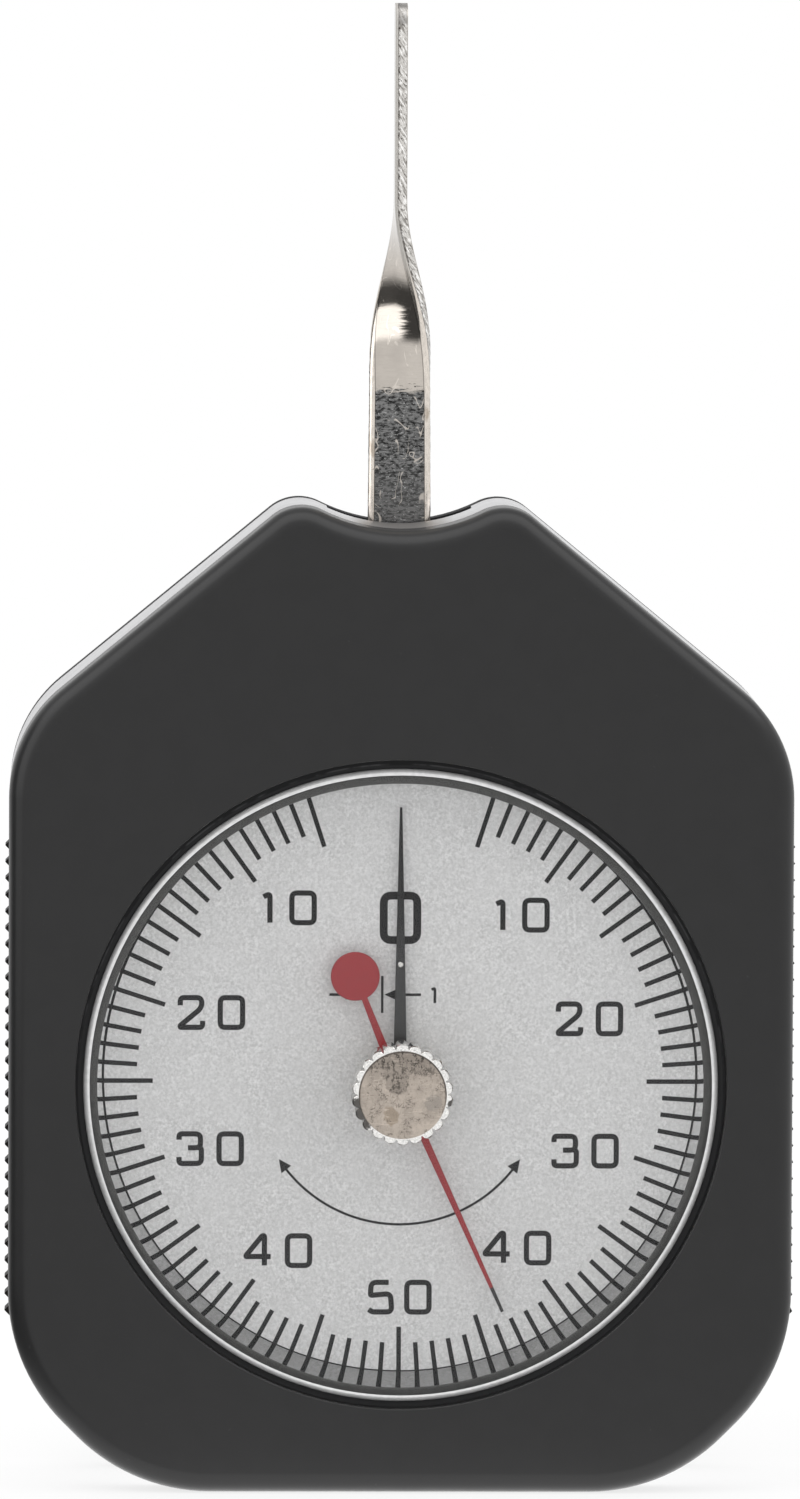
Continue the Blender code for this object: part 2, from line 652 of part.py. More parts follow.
def back_cover():
    cover = prism("back_cover", rounded(case_corners()), COVER_FRONT, COVER_BACK, "black_plastic")
    fillet_rim(cover, COVER_BACK, BACK_FILLET)
    hollow = prism(
        "back_cover_hollow",
        rounded(inset(case_corners(), FRAME_WALL)),
        COVER_FRONT - CUT_OVERRUN,
        COVER_BACK - COVER_WALL,
        None,
    )
    posts = sized(boss_places(), BOSS_RADIUS)
    drill(hollow, posts, COVER_FRONT - 2 * CUT_OVERRUN, COVER_BACK, ROUND_FACETS)
    boolean(cover, hollow)
    shanks = sized(boss_places(), CASE_SCREW_RADIUS + SEAT_GAP)
    drill(cover, shanks, COVER_FRONT - CUT_OVERRUN, COVER_BACK + CUT_OVERRUN)
    heads = sized(boss_places(), CASE_HEAD_RADIUS + SEAT_GAP)
    floor = COVER_BACK - CASE_HEAD_HEIGHT - 2 * SEAT_GAP
    boolean(cover, round_bars("back_cover_counterbores", heads, floor, COVER_BACK + CUT_OVERRUN))


def case_screws():
    head_back = COVER_BACK - SEAT_GAP
    head_front = head_back - CASE_HEAD_HEIGHT
    end = PANEL_BACK + SEAT_GAP
    profile = [
        (0.0, end),
        (CASE_SCREW_RADIUS - SEAT_GAP, end),
        (CASE_SCREW_RADIUS, end + SEAT_GAP),
        (CASE_SCREW_RADIUS, head_front),
        (CASE_HEAD_RADIUS, head_front),
        (CASE_HEAD_RADIUS, head_back - SEAT_GAP),
        (CASE_HEAD_RADIUS - SEAT_GAP, head_back),
        (0.0, head_back),
    ]
    for number, place in enumerate(boss_places(), 1):
        turned(f"case_screw_{number}", profile, "nickel_steel", place=place, facets=SMALL_FACETS)


# Window and dial
def crystal():
    edge = CRYSTAL_FRONT + CRYSTAL_BEVEL_DEPTH
    bore = BUSH_RADIUS + SEAT_GAP
    profile = [
        (bore, CRYSTAL_FRONT),
        (CRYSTAL_RADIUS - CRYSTAL_BEVEL, CRYSTAL_FRONT),
        (CRYSTAL_RADIUS, edge),
        (CRYSTAL_RADIUS, FLANGE_FRONT),
        (FLANGE_RADIUS, FLANGE_FRONT),
        (FLANGE_RADIUS, CRYSTAL_BACK),
        (bore, CRYSTAL_BACK),
    ]
    turned("crystal", profile, "clear_acrylic", place=(0.0, SPINDLE_HEIGHT), facets=WINDOW_FACETS)


def spacer_ring():
    profile = [
        (RING_INNER, RING_FRONT),
        (RING_OUTER, RING_FRONT),
        (RING_OUTER, RING_BACK),
        (RING_INNER + RING_UNDERCUT, RING_BACK),
    ]
    turned("spacer_ring", profile, "dark_anodised", place=(0.0, SPINDLE_HEIGHT), facets=WINDOW_FACETS)


def dial_plate():
    profile = sleeve(DIAL_HOLE_RADIUS, DIAL_RADIUS, DIAL_FRONT, DIAL_BACK)
    turned("dial_plate", profile, "dial_silver", place=(0.0, SPINDLE_HEIGHT), facets=WINDOW_FACETS)


# Knob and red pointer
def knob_outline():
    """A round body with low rounded ribs all round."""
    points = []
    for k in range(KNOB_RIBS):
        for share, height in RIB_SHARES:
            points.append(polar(KNOB_RADIUS + KNOB_RIB_HEIGHT * height, math.tau * (k + share) / KNOB_RIBS))
    return points


def reset_knob(axis):
    grip_front = KNOB_FRONT + KNOB_CROWN
    grip_back = KNOB_BACK - KNOB_NECK
    knob = prism("reset_knob", turned_back(knob_outline()), grip_front, grip_back, "nickel_steel", axis)
    face = turned(
        "reset_knob_face",
        [
            (0.0, KNOB_FRONT),
            (KNOB_RADIUS - 2 * KNOB_CROWN, KNOB_FRONT),
            (KNOB_RADIUS - KNOB_CROWN, KNOB_FRONT + KNOB_CROWN / 2),
            (KNOB_RADIUS - KNOB_CROWN, grip_front + KNOB_CROWN),
            (0.0, grip_front + KNOB_CROWN),
        ],
        None,
        axis,
    )
    boolean(knob, face, "UNION")
    neck = turned("reset_knob_neck", disc(KNOB_NECK_RADIUS, grip_back - KNOB_NECK, KNOB_BACK), None, axis)
    boolean(knob, neck, "UNION")
    bore = [(0.0, 0.0, KNOB_SHAFT_RADIUS + SEAT_GAP)]
    drill(knob, bore, KNOB_FRONT + KNOB_BORE_FLOOR, KNOB_BACK + CUT_OVERRUN)


def knob_shaft(axis):
    front = KNOB_FRONT + KNOB_BORE_FLOOR + SEAT_GAP
    turned("knob_shaft", disc(KNOB_SHAFT_RADIUS, front, RED_HUB_BACK - SEAT_GAP), "nickel_steel", axis)


def crystal_bush():
    profile = [
        (BUSH_BORE, BUSH_FRONT),
        (BUSH_RADIUS + BUSH_LIP, BUSH_FRONT),
        (BUSH_RADIUS + BUSH_LIP, BUSH_FRONT + BUSH_FLANGE),
        (BUSH_RADIUS, BUSH_FRONT + BUSH_FLANGE),
        (BUSH_RADIUS, NUT_BACK),
        (BUSH_BORE, NUT_BACK),
    ]
    turned("crystal_bush", profile, "brass", place=(0.0, SPINDLE_HEIGHT))


def bush_nut():
    across = (BUSH_RADIUS + BUSH_LIP + SEAT_GAP) / math.cos(math.pi / 6)
    outline = turned_back([polar(across, math.tau * k / 6) for k in range(6)])
    nut = prism("bush_nut", outline, NUT_BACK - NUT_THICKNESS, NUT_BACK, "brass", place=(0.0, SPINDLE_HEIGHT))
    hole = [(0.0, 0.0, BUSH_RADIUS + SEAT_GAP)]
    drill(nut, hole, NUT_BACK - NUT_THICKNESS - CUT_OVERRUN, NUT_BACK + CUT_OVERRUN, ROUND_FACETS)


def friction_washer():
    profile = sleeve(
        KNOB_SHAFT_RADIUS + RUNNING_GAP,
        WASHER_RADIUS,
        WASHER_FRONT,
        WASHER_FRONT + WASHER_THICKNESS,
    )
    turned("friction_washer", profile, "spring_steel", place=(0.0, SPINDLE_HEIGHT))


def blade_hub(name, shaft, spigot, eye, front, axis):
    """A hub with its flange behind the blade and a spigot through the blade's eye."""
    bore = shaft + SEAT_GAP
    seat = front + BLADE_THICKNESS + SEAT_GAP
    profile = [
        (bore, front),
        (spigot, front),
        (spigot, seat),
        (eye, seat),
        (eye, seat + HUB_FLANGE),
        (bore, seat + HUB_FLANGE),
    ]
    turned(name, profile, "brass", axis)


def red_pointer_hub(axis):
    blade_hub("red_pointer_hub", KNOB_SHAFT_RADIUS, RED_SPIGOT_RADIUS, RED_EYE_RADIUS, RED_BLADE_FRONT, axis)


def red_pointer(axis):
    """A tapered needle with a ring round the hub. Its tail, a stem and a disc, leans a little."""
    half, tip = RED_STEM_WIDTH / 2, RED_TIP_WIDTH / 2
    eye = RED_EYE_RADIUS
    end = eye * EYE_END_SHARE
    join = math.asin(RED_STEM_END_WIDTH / 2 / RED_DISC_RADIUS)
    centre = polar(RED_TAIL_REACH, math.pi + RED_TAIL_LEAN)
    tail = []
    for k in range(ROUND_FACETS + 1):
        angle = RED_TAIL_LEAN + join + (math.tau - 2 * join) * k / ROUND_FACETS
        tail.append(centre + polar(RED_DISC_RADIUS, angle))
    right = [
        (half, -end, half),
        (eye, -eye / 2, eye / 2),
        (eye, eye / 2, eye / 2),
        (half, end, half),
        (tip, RED_TIP_REACH, 0.0),
    ]
    corners = right + [(-x, z, radius) for x, z, radius in turned_back(right)]
    corners += [(p.x, p.y, 0.0) for p in turned_back(tail)]
    needle = prism(
        "red_pointer",
        rounded(corners),
        RED_BLADE_FRONT,
        RED_BLADE_FRONT + BLADE_THICKNESS,
        "pointer_red",
        axis,
    )
    hole = [(0.0, 0.0, RED_SPIGOT_RADIUS + SEAT_GAP)]
    drill(needle, hole, RED_BLADE_FRONT - CUT_OVERRUN, RED_HUB_BACK + CUT_OVERRUN, ROUND_FACETS)


# Pointer spindle
def black_pointer(axis):
    eye = EYE_RADIUS
    half, tip = POINTER_WIDTH / 2, POINTER_TIP_WIDTH / 2
    right = [
        (eye, -eye / 2, eye / 2),
        (eye, eye / 2, eye / 2),
        (half, eye * POINTER_SHOULDER_SHARE, half),
        (tip, POINTER_REACH, 0.0),
    ]
    corners = right + [(-x, z, radius) for x, z, radius in turned_back(right)]
    corners.append((0.0, -eye * EYE_END_SHARE, eye / 2))
    pointer = prism(
        "black_pointer", rounded(corners), BLADE_FRONT, BLADE_FRONT + BLADE_THICKNESS, "pointer_black", axis
    )
    holes = [
        (0.0, 0.0, SPIGOT_RADIUS + SEAT_GAP),
        (0.0, DRAG_PIN_REACH, DRAG_PIN_RADIUS + SEAT_GAP / 2),
    ]
    drill(pointer, holes, BLADE_FRONT - CUT_OVERRUN, BLADE_FRONT + CUT_OVERRUN)


def pointer_hub(axis):
    blade_hub("pointer_hub", SPINDLE_RADIUS, SPIGOT_RADIUS, EYE_RADIUS, BLADE_FRONT, axis)


def drag_pin(axis):
    """The peg that pushes the red pointer. It ends a running gap behind that pointer's blade."""
    front = RED_BLADE_FRONT + BLADE_THICKNESS + RUNNING_GAP
    profile = disc(DRAG_PIN_RADIUS, front, BLADE_FRONT + BLADE_THICKNESS)
    turned("drag_pin", profile, "nickel_steel", axis, (0.0, DRAG_PIN_REACH), SMALL_FACETS)


def spindle(axis):
    end = BRIDGE_BACK - SEAT_GAP
    turned("pointer_spindle", disc(SPINDLE_RADIUS, BLADE_FRONT, end), "nickel_steel", axis)


def gear_tooth(teeth, radius, centre, flank_shares):
    """The points of one involute tooth round the angle centre, from one root to the other, clockwise."""
    base = radius * math.cos(PRESSURE_ANGLE)
    tip = radius + ADDENDUM_SHARE * MODULE
    root = radius - DEDENDUM_SHARE * MODULE

    def involute(at):
        angle = math.acos(min(1.0, base / at))
        return math.tan(angle) - angle

    at_pitch = math.pi / (2 * teeth) - BACKLASH / (2 * radius) + involute(radius)
    start = max(base, root)
    flank = [start + (tip - start) * share for share in flank_shares]
    if root < base:
        flank.insert(0, root)
    halves = [(at, at_pitch - involute(max(at, base))) for at in flank]
    rising = [polar(at, centre - half) for at, half in halves]
    falling = [polar(at, centre + half) for at, half in turned_back(halves)]
    return rising + falling


def pinion(axis):
    """The pinion's gap faces the arbor, because the sector points a tooth at it."""
    step = math.tau / PINION_TEETH
    outline = []
    for k in range(PINION_TEETH):
        outline += gear_tooth(PINION_TEETH, PINION_RADIUS, step * (k + 0.5), PINION_FLANK_SHARES)
    front = (SECTOR_FRONT + SECTOR_BACK - PINION_DEPTH) / 2
    gear = prism("pinion", turned_back(outline), front, front + PINION_DEPTH, "brass", axis)
    bore = [(0.0, 0.0, SPINDLE_RADIUS + SEAT_GAP)]
    drill(gear, bore, front - CUT_OVERRUN, front + PINION_DEPTH + CUT_OVERRUN, ROUND_FACETS)


def spiral(name, inner, turns, pitch, strip, front, width, finish, place):
    """A flat spiral strip that ends at three o'clock, beside its stud."""
    steps = turns * SPRING_FACETS
    radii = [inner + turns * pitch * k / steps for k in range(steps + 1)]
    angles = [math.pi / 2 - math.tau * turns * (1 - k / steps) for k in range(steps + 1)]
    outside = [polar(r + strip / 2, a) for r, a in zip(radii, angles)]
    inside = [polar(r - strip / 2, a) for r, a in zip(radii, angles)]
    prism(name, outside + turned_back(inside), front, front + width, finish, place=place)


def hairspring():
    spiral(
        "hairspring",
        HAIRSPRING_INNER,
        HAIRSPRING_TURNS,
        HAIRSPRING_PITCH,
        HAIRSPRING_STRIP,
        COLLET_FRONT + (COLLET_HEIGHT - HAIRSPRING_WIDTH) / 2,
        HAIRSPRING_WIDTH,
        "spring_steel",
        (0.0, SPINDLE_HEIGHT),
    )


def hairspring_collet(axis):
    profile = sleeve(SPINDLE_RADIUS + SEAT_GAP, COLLET_RADIUS, COLLET_FRONT, COLLET_FRONT + COLLET_HEIGHT)
    turned("hairspring_collet", profile, "brass", axis)


# Lever: stylus, hub, sector and weight
def lever_arbor(axis):
    front, back = PLATE_FRONT + SEAT_GAP, BRIDGE_BACK - SEAT_GAP
    turned("lever_arbor", disc(ARBOR_RADIUS, front, back), "nickel_steel", axis)


def lever_hub(axis):
    bore = ARBOR_RADIUS + SEAT_GAP
    shoulder = SECTOR_FRONT - SEAT_GAP
    profile = [
        (bore, HUB_FRONT),
        (HUB_RADIUS, HUB_FRONT),
        (HUB_RADIUS, shoulder),
        (HUB_SPIGOT_RADIUS, shoulder),
        (HUB_SPIGOT_RADIUS, STYLUS_BACK),
        (bore, STYLUS_BACK),
    ]
    turned("lever_hub", profile, "brass", axis)


def sector_gear(axis):
    """A toothed band on an arm, cut in one plate with the hub and the tongue that carries the stylus."""
    step = math.tau / SECTOR_FULL_TEETH
    teeth = []
    for k in range(SECTOR_TEETH):
        centre = math.pi + step * ((SECTOR_TEETH - 1) / 2 - k)
        tooth = gear_tooth(SECTOR_FULL_TEETH, SECTOR_RADIUS, centre, SECTOR_FLANK_SHARES)
        teeth += turned_back(tooth)
    end = step * (SECTOR_TEETH + 1) / 2
    root = SECTOR_RADIUS - DEDENDUM_SHARE * MODULE
    inner = root - SECTOR_BAND
    corner = SECTOR_BAND / 5
    outer_end, inner_end = polar(root, math.pi - end), polar(inner, math.pi - end)
    arm, hub = SECTOR_ARM_WIDTH / 2, SECTOR_HUB_WIDTH / 2
    tongue = STYLUS_WIDTH / 2 - SEAT_GAP
    right = [
        (outer_end.x, outer_end.y, corner),
        (inner_end.x, inner_end.y, corner),
        (arm, -math.sqrt(inner * inner - arm * arm), 2 * corner),
        (arm, -2 * hub, arm),
        (hub, -hub, hub / 2),
        (hub, hub * SECTOR_HUB_SHARES[0], hub / 2),
        (tongue, hub * SECTOR_HUB_SHARES[1], corner),
        (tongue, TONGUE_RISE, corner),
    ]
    corners = [(p.x, p.y, 0.0) for p in teeth] + right
    corners += [(-x, z, radius) for x, z, radius in turned_back(right)]
    sector = prism("sector_gear", rounded(corners), SECTOR_FRONT, SECTOR_BACK, "brass", axis)
    holes = [(0.0, 0.0, HUB_SPIGOT_RADIUS + SEAT_GAP), (0.0, -WEIGHT_REACH, WEIGHT_SPIGOT_RADIUS + SEAT_GAP)]
    holes += sized([(0.0, rise) for rise in TONGUE_SCREW_RISES], MOVEMENT_SCREW_RADIUS + SEAT_GAP)
    drill(sector, holes, SECTOR_FRONT - CUT_OVERRUN, SECTOR_BACK + CUT_OVERRUN)


def stylus_section(height):
    """The strip's chamfered section at a height, turned by the twist there, as (x, y) points."""
    along = (height - TWIST_START_HEIGHT) / (TWIST_END_HEIGHT - TWIST_START_HEIGHT)
    along = min(max(along, 0.0), 1.0)
    twist = -math.pi / 2 * along * along * (3 - 2 * along)
    lean = min(max((height - notch_floor()) / (TWIST_END_HEIGHT - notch_floor()), 0.0), 1.0)
    half = (STYLUS_WIDTH + (STYLUS_TOP_WIDTH - STYLUS_WIDTH) * lean) / 2
    below_tip = STYLUS_TIP_HEIGHT - height
    if below_tip < STYLUS_TIP_RADIUS:
        rise = STYLUS_TIP_RADIUS - below_tip
        half -= STYLUS_TIP_RADIUS - math.sqrt(max(STYLUS_TIP_RADIUS**2 - rise**2, 0.0))
    thick, cut = STYLUS_THICKNESS / 2, STYLUS_EDGE_CHAMFER
    corners = [(half, -thick + cut), (half, thick - cut), (half - cut, thick), (cut - half, thick)]
    corners += [(-x, -y) for x, y in corners]
    cos, sin = math.cos(twist), math.sin(twist)
    return [(x * cos - y * sin, x * sin + y * cos + STYLUS_CENTRE) for x, y in corners]


def stylus_heights():
    """Where the strip's sections stand: close together in the twist and round the tip."""
    foot = PIVOT_HEIGHT - STYLUS_FOOT_DROP
    twist = TWIST_END_HEIGHT - TWIST_START_HEIGHT
    heights = [foot, notch_floor()]
    heights += [TWIST_START_HEIGHT + twist * k / TWIST_SECTIONS for k in range(TWIST_SECTIONS + 1)]
    heights += [STYLUS_TIP_HEIGHT - STYLUS_TIP_RADIUS * share for share in STYLUS_TIP_SHARES]
    return heights


def stylus(axis):
    bm = bmesh.new()
    rings = []
    for height in stylus_heights():
        rings.append([bm.verts.new((x, y, height - PIVOT_HEIGHT)) for x, y in stylus_section(height)])
    for low, high in zip(rings, rings[1:]):
        for k in range(len(low)):
            bm.faces.new((low[k], low[k - 1], high[k - 1], high[k]))
    bm.faces.new(rings[0])
    bm.faces.new(turned_back(rings[-1]))
    strip = link("stylus", bm, "nickel_steel", axis)
    holes = [(0.0, 0.0, HUB_SPIGOT_RADIUS + SEAT_GAP)]
    holes += sized([(0.0, rise) for rise in TONGUE_SCREW_RISES], MOVEMENT_SCREW_RADIUS + SEAT_GAP)
    drill(strip, holes, STYLUS_FRONT - CUT_OVERRUN, STYLUS_BACK + CUT_OVERRUN)


def headed_pin(name, radius, head_radius, head, front, end, finish, parent=None, place=(0.0, 0.0)):
    """A screw or rivet: a head between head and front, and a shank from front to end."""
    profile = [(0.0, head), (head_radius, head), (head_radius, front)]
    profile += [(radius, front), (radius, end), (0.0, end)]
    if end < front:
        profile = turned_back(profile)
    return turned(name, profile, finish, parent, place, SMALL_FACETS)


def stylus_screws(axis):
    front = SECTOR_FRONT - SEAT_GAP
    head = front - MOVEMENT_HEAD_HEIGHT
    radius = min(MOVEMENT_HEAD_RADIUS, (TONGUE_SCREW_RISES[1] - TONGUE_SCREW_RISES[0]) / 2 - SEAT_GAP)
    for number, rise in enumerate(TONGUE_SCREW_RISES, 1):
        name = f"stylus_screw_{number}"
        headed_pin(
            name, MOVEMENT_SCREW_RADIUS, radius, head, front, STYLUS_BACK, "nickel_steel", axis, (0.0, rise)
        )


def balance_weight(axis):
    front = SECTOR_FRONT - SEAT_GAP
    headed_pin(
        "balance_weight",
        WEIGHT_SPIGOT_RADIUS,
        WEIGHT_RADIUS,
        front - WEIGHT_HEIGHT,
        front,
        SECTOR_BACK,
        "brass",
        axis,
        (0.0, -WEIGHT_REACH),
    )


def main_spring():
    spiral(
        "main_spring",
        MAIN_SPRING_INNER,
        MAIN_SPRING_TURNS,
        MAIN_SPRING_PITCH,
        MAIN_SPRING_STRIP,
        MAIN_SPRING_FRONT,
        MAIN_SPRING_WIDTH,
        "spring_steel",
        (0.0, PIVOT_HEIGHT),
    )


# Plates, pillars, bushes, studs and stops
def plate_corners():
    """The movement plate fills the frame, less its corners, which go round the bosses."""
    side = HALF_WIDTH - FRAME_WALL - PLATE_EDGE_GAP
    lug = lug_places()
    low = lug[0][1] - MOVEMENT_HEAD_RADIUS - SHAKE
    high = lug[2][1] + MOVEMENT_HEAD_RADIUS + SHAKE
    bottom = FRAME_WALL + PLATE_EDGE_GAP
    top = notch_floor() - FRAME_WALL - PLATE_EDGE_GAP
    boss_low, boss_high = boss_places()[0], boss_places()[2]
    clear = BOSS_RADIUS + PLATE_EDGE_GAP
    right = [
        (boss_low[0] - clear, bottom, PLATE_CORNER_RADIUS),
        (boss_low[0] - clear, boss_low[1] + clear / 2, PLATE_CORNER_RADIUS),
        (side, low, PLATE_CORNER_RADIUS),
        (side, high, PLATE_CORNER_RADIUS),
        (boss_high[0] - clear, boss_high[1] - clear / 2, PLATE_CORNER_RADIUS),
        (PILLAR_TOP_REACH - PILLAR_RADIUS, top, PLATE_CORNER_RADIUS),
    ]
    return right + [(-x, z, radius) for x, z, radius in turned_back(right)]


def movement_plate():
    plate = prism("movement_plate", rounded(plate_corners()), PLATE_FRONT, PLATE_BACK, "brass")
    seat = BEARING_WALL + 2 * SEAT_GAP
    holes = [(0.0, PIVOT_HEIGHT, ARBOR_RADIUS + seat), (0.0, SPINDLE_HEIGHT, SPINDLE_RADIUS + seat)]
    holes += sized(lug_places(), MOVEMENT_SCREW_RADIUS + SEAT_GAP)
    holes += sized(pillar_places(), PILLAR_SPIGOT_RADIUS + SEAT_GAP)
    holes += sized(stop_pin_places(), STOP_PIN_RADIUS + SEAT_GAP)
    holes += sized(stud_places(), STUD_RADIUS + SEAT_GAP)
    drill(plate, holes, PLATE_FRONT - CUT_OVERRUN, PLATE_BACK + CUT_OVERRUN)


def stud_places():
    return [(MAIN_STUD_REACH, PIVOT_HEIGHT), (HAIR_STUD_REACH, SPINDLE_HEIGHT)]


def spring_studs():
    backs = (MAIN_SPRING_FRONT + MAIN_SPRING_WIDTH, COLLET_FRONT + COLLET_HEIGHT)
    for name, place, back in zip(("main_spring_stud", "hairspring_stud"), stud_places(), backs):
        turned(name, disc(STUD_RADIUS, PLATE_FRONT, back), "brass", place=place, facets=SMALL_FACETS)


def stop_pins():
    for name, place in zip(("stop_pin_right", "stop_pin_left"), stop_pin_places()):
        turned(name, disc(STOP_PIN_RADIUS, PLATE_FRONT, SECTOR_BACK), "nickel_steel", place=place)


def plate_screws():
    front = PLATE_FRONT - SEAT_GAP
    for number, place in enumerate(lug_places(), 1):
        headed_pin(
            f"plate_screw_{number}",
            MOVEMENT_SCREW_RADIUS,
            MOVEMENT_HEAD_RADIUS,
            front - MOVEMENT_HEAD_HEIGHT,
            front,
            PLATE_BACK + MOVEMENT_SCREW_REACH,
            "nickel_steel",
            place=place,
        )


def rear_bridge():
    top, low = pillar_places()[0], pillar_places()[2]
    right = [
        (low[0] + BRIDGE_BORDER, low[1] - BRIDGE_BORDER, BRIDGE_BORDER),
        (top[0] + BRIDGE_BORDER, top[1] + BRIDGE_BORDER, BRIDGE_BORDER),
    ]
    corners = right + [(-x, z, radius) for x, z, radius in turned_back(right)]
    bridge = prism("rear_bridge", rounded(corners), BRIDGE_FRONT, BRIDGE_BACK, "brass")
    seat = BEARING_WALL + 2 * SEAT_GAP
    holes = [(0.0, PIVOT_HEIGHT, ARBOR_RADIUS + seat), (0.0, SPINDLE_HEIGHT, SPINDLE_RADIUS + seat)]
    holes += sized(pillar_places(), MOVEMENT_SCREW_RADIUS + SEAT_GAP)
    drill(bridge, holes, BRIDGE_FRONT - CUT_OVERRUN, BRIDGE_BACK + CUT_OVERRUN)


def pillars():
    """Each pillar is riveted into the plate by its spigot and bored for its bridge screw."""
    shoulder, end = PLATE_BACK + SEAT_GAP, BRIDGE_FRONT - SEAT_GAP
    depth = end - MOVEMENT_SCREW_REACH - SEAT_GAP
    bore = MOVEMENT_SCREW_RADIUS + SEAT_GAP
    profile = [
        (0.0, PLATE_FRONT),
        (PILLAR_SPIGOT_RADIUS, PLATE_FRONT),
        (PILLAR_SPIGOT_RADIUS, shoulder),
        (PILLAR_RADIUS, shoulder),
        (PILLAR_RADIUS, end),
        (bore, end),
        (bore, depth),
        (0.0, depth),
    ]
    for number, place in enumerate(pillar_places(), 1):
        turned(f"pillar_{number}", profile, "brass", place=place, facets=SMALL_FACETS)


def bridge_screws():
    front = BRIDGE_BACK + SEAT_GAP
    for number, place in enumerate(pillar_places(), 1):
        headed_pin(
            f"bridge_screw_{number}",
            MOVEMENT_SCREW_RADIUS,
            MOVEMENT_HEAD_RADIUS,
            front + MOVEMENT_HEAD_HEIGHT,
            front,
            BRIDGE_FRONT - MOVEMENT_SCREW_REACH,
            "nickel_steel",
            place=place,
        )


def bearing(name, shaft, height, plate_front, plate_back, inner_side):
    """A flanged bush in a plate. Its flange lies on the movement's side: 1 behind the plate, -1 in front."""
    bore, body = shaft + RUNNING_GAP, shaft + BEARING_WALL + SEAT_GAP
    lip = body + BEARING_LIP
    face = plate_back + SEAT_GAP if inner_side > 0 else plate_front - SEAT_GAP
    far = plate_front if inner_side > 0 else plate_back
    end = face + inner_side * BEARING_FLANGE
    profile = [(bore, far), (body, far), (body, face), (lip, face), (lip, end), (bore, end)]
    turned(name, profile, "brass", place=(0.0, height))


def bearings():
    bearing("arbor_bush_front", ARBOR_RADIUS, PIVOT_HEIGHT, PLATE_FRONT, PLATE_BACK, 1)
    bearing("arbor_bush_rear", ARBOR_RADIUS, PIVOT_HEIGHT, BRIDGE_FRONT, BRIDGE_BACK, -1)
    bearing("spindle_bush_front", SPINDLE_RADIUS, SPINDLE_HEIGHT, PLATE_FRONT, PLATE_BACK, 1)
    bearing("spindle_bush_rear", SPINDLE_RADIUS, SPINDLE_HEIGHT, BRIDGE_FRONT, BRIDGE_BACK, -1)


def main():
    for obj in list(bpy.data.objects):
        bpy.data.objects.remove(obj)
    lever_axis = axis_empty("lever_axis", PIVOT_HEIGHT)
    spindle_axis = axis_empty("spindle_axis", SPINDLE_HEIGHT)
    knob_axis = axis_empty("knob_axis", SPINDLE_HEIGHT, RED_ANGLE)

    front_shell()
    middle_frame()
    back_cover()
    case_screws()
    crystal()
    spacer_ring()
    dial_plate()
    crystal_bush()
    bush_nut()
    friction_washer()

    reset_knob(knob_axis)
    knob_shaft(knob_axis)
    red_pointer_hub(knob_axis)
    red_pointer(knob_axis)

    black_pointer(spindle_axis)
    pointer_hub(spindle_axis)
    drag_pin(spindle_axis)
    spindle(spindle_axis)
    pinion(spindle_axis)
    hairspring_collet(spindle_axis)
    hairspring()

    lever_arbor(lever_axis)
    lever_hub(lever_axis)
    sector_gear(lever_axis)
    stylus(lever_axis)
    stylus_screws(lever_axis)
    balance_weight(lever_axis)
    main_spring()

    movement_plate()
    rear_bridge()
    pillars()
    bridge_screws()
    plate_screws()
    bearings()
    spring_studs()
    stop_pins()


main()
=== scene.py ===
"""Dial tension gauge: the finished look of its pieces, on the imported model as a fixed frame.

The file is laid out as an add-on. Each operator builds one piece, or one group of like pieces, where
the frame's nodes say. The dial faces -Y, the stylus points up +Z, and all sizes are in metres.
"""

import math

import bmesh
import bpy
from bpy.props import FloatProperty, FloatVectorProperty, IntProperty, PointerProperty
from bpy.types import Operator, Panel, PropertyGroup
from mathutils import Matrix, Quaternion, Vector, noise


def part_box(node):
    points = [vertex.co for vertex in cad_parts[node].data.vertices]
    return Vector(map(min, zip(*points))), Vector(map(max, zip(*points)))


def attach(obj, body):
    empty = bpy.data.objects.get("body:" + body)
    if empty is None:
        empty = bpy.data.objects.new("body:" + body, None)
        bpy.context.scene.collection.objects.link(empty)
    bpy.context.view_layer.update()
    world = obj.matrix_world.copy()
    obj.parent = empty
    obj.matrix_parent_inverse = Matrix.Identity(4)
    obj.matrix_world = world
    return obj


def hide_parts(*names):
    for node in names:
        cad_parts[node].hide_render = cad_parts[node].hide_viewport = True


bl_info = {
    "name": "Dial Tension Gauge",
    "version": (1, 0, 0),
    "blender": (4, 5, 0),
    "location": "3D View > Sidebar > Gauge",
    "description": "Builds the finished pieces of a dial tension gauge on its packed frame",
    "category": "Object",
}

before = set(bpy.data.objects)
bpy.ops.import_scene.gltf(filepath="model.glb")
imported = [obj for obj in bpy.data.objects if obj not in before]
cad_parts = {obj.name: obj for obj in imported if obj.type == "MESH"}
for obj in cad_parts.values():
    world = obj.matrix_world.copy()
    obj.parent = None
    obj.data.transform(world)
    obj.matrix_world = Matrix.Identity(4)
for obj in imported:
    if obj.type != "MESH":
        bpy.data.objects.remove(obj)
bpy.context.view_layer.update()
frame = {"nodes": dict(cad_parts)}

MM = 0.001
PAST = MM  # how far a cutter reaches past what it cuts
NEAR = 0.01 * MM  # the play in tests of place
FINE, COARSE = math.radians(3), math.radians(6)  # arc steps of outlines
ROUND, SMALL = 180, 48  # steps of a full turn

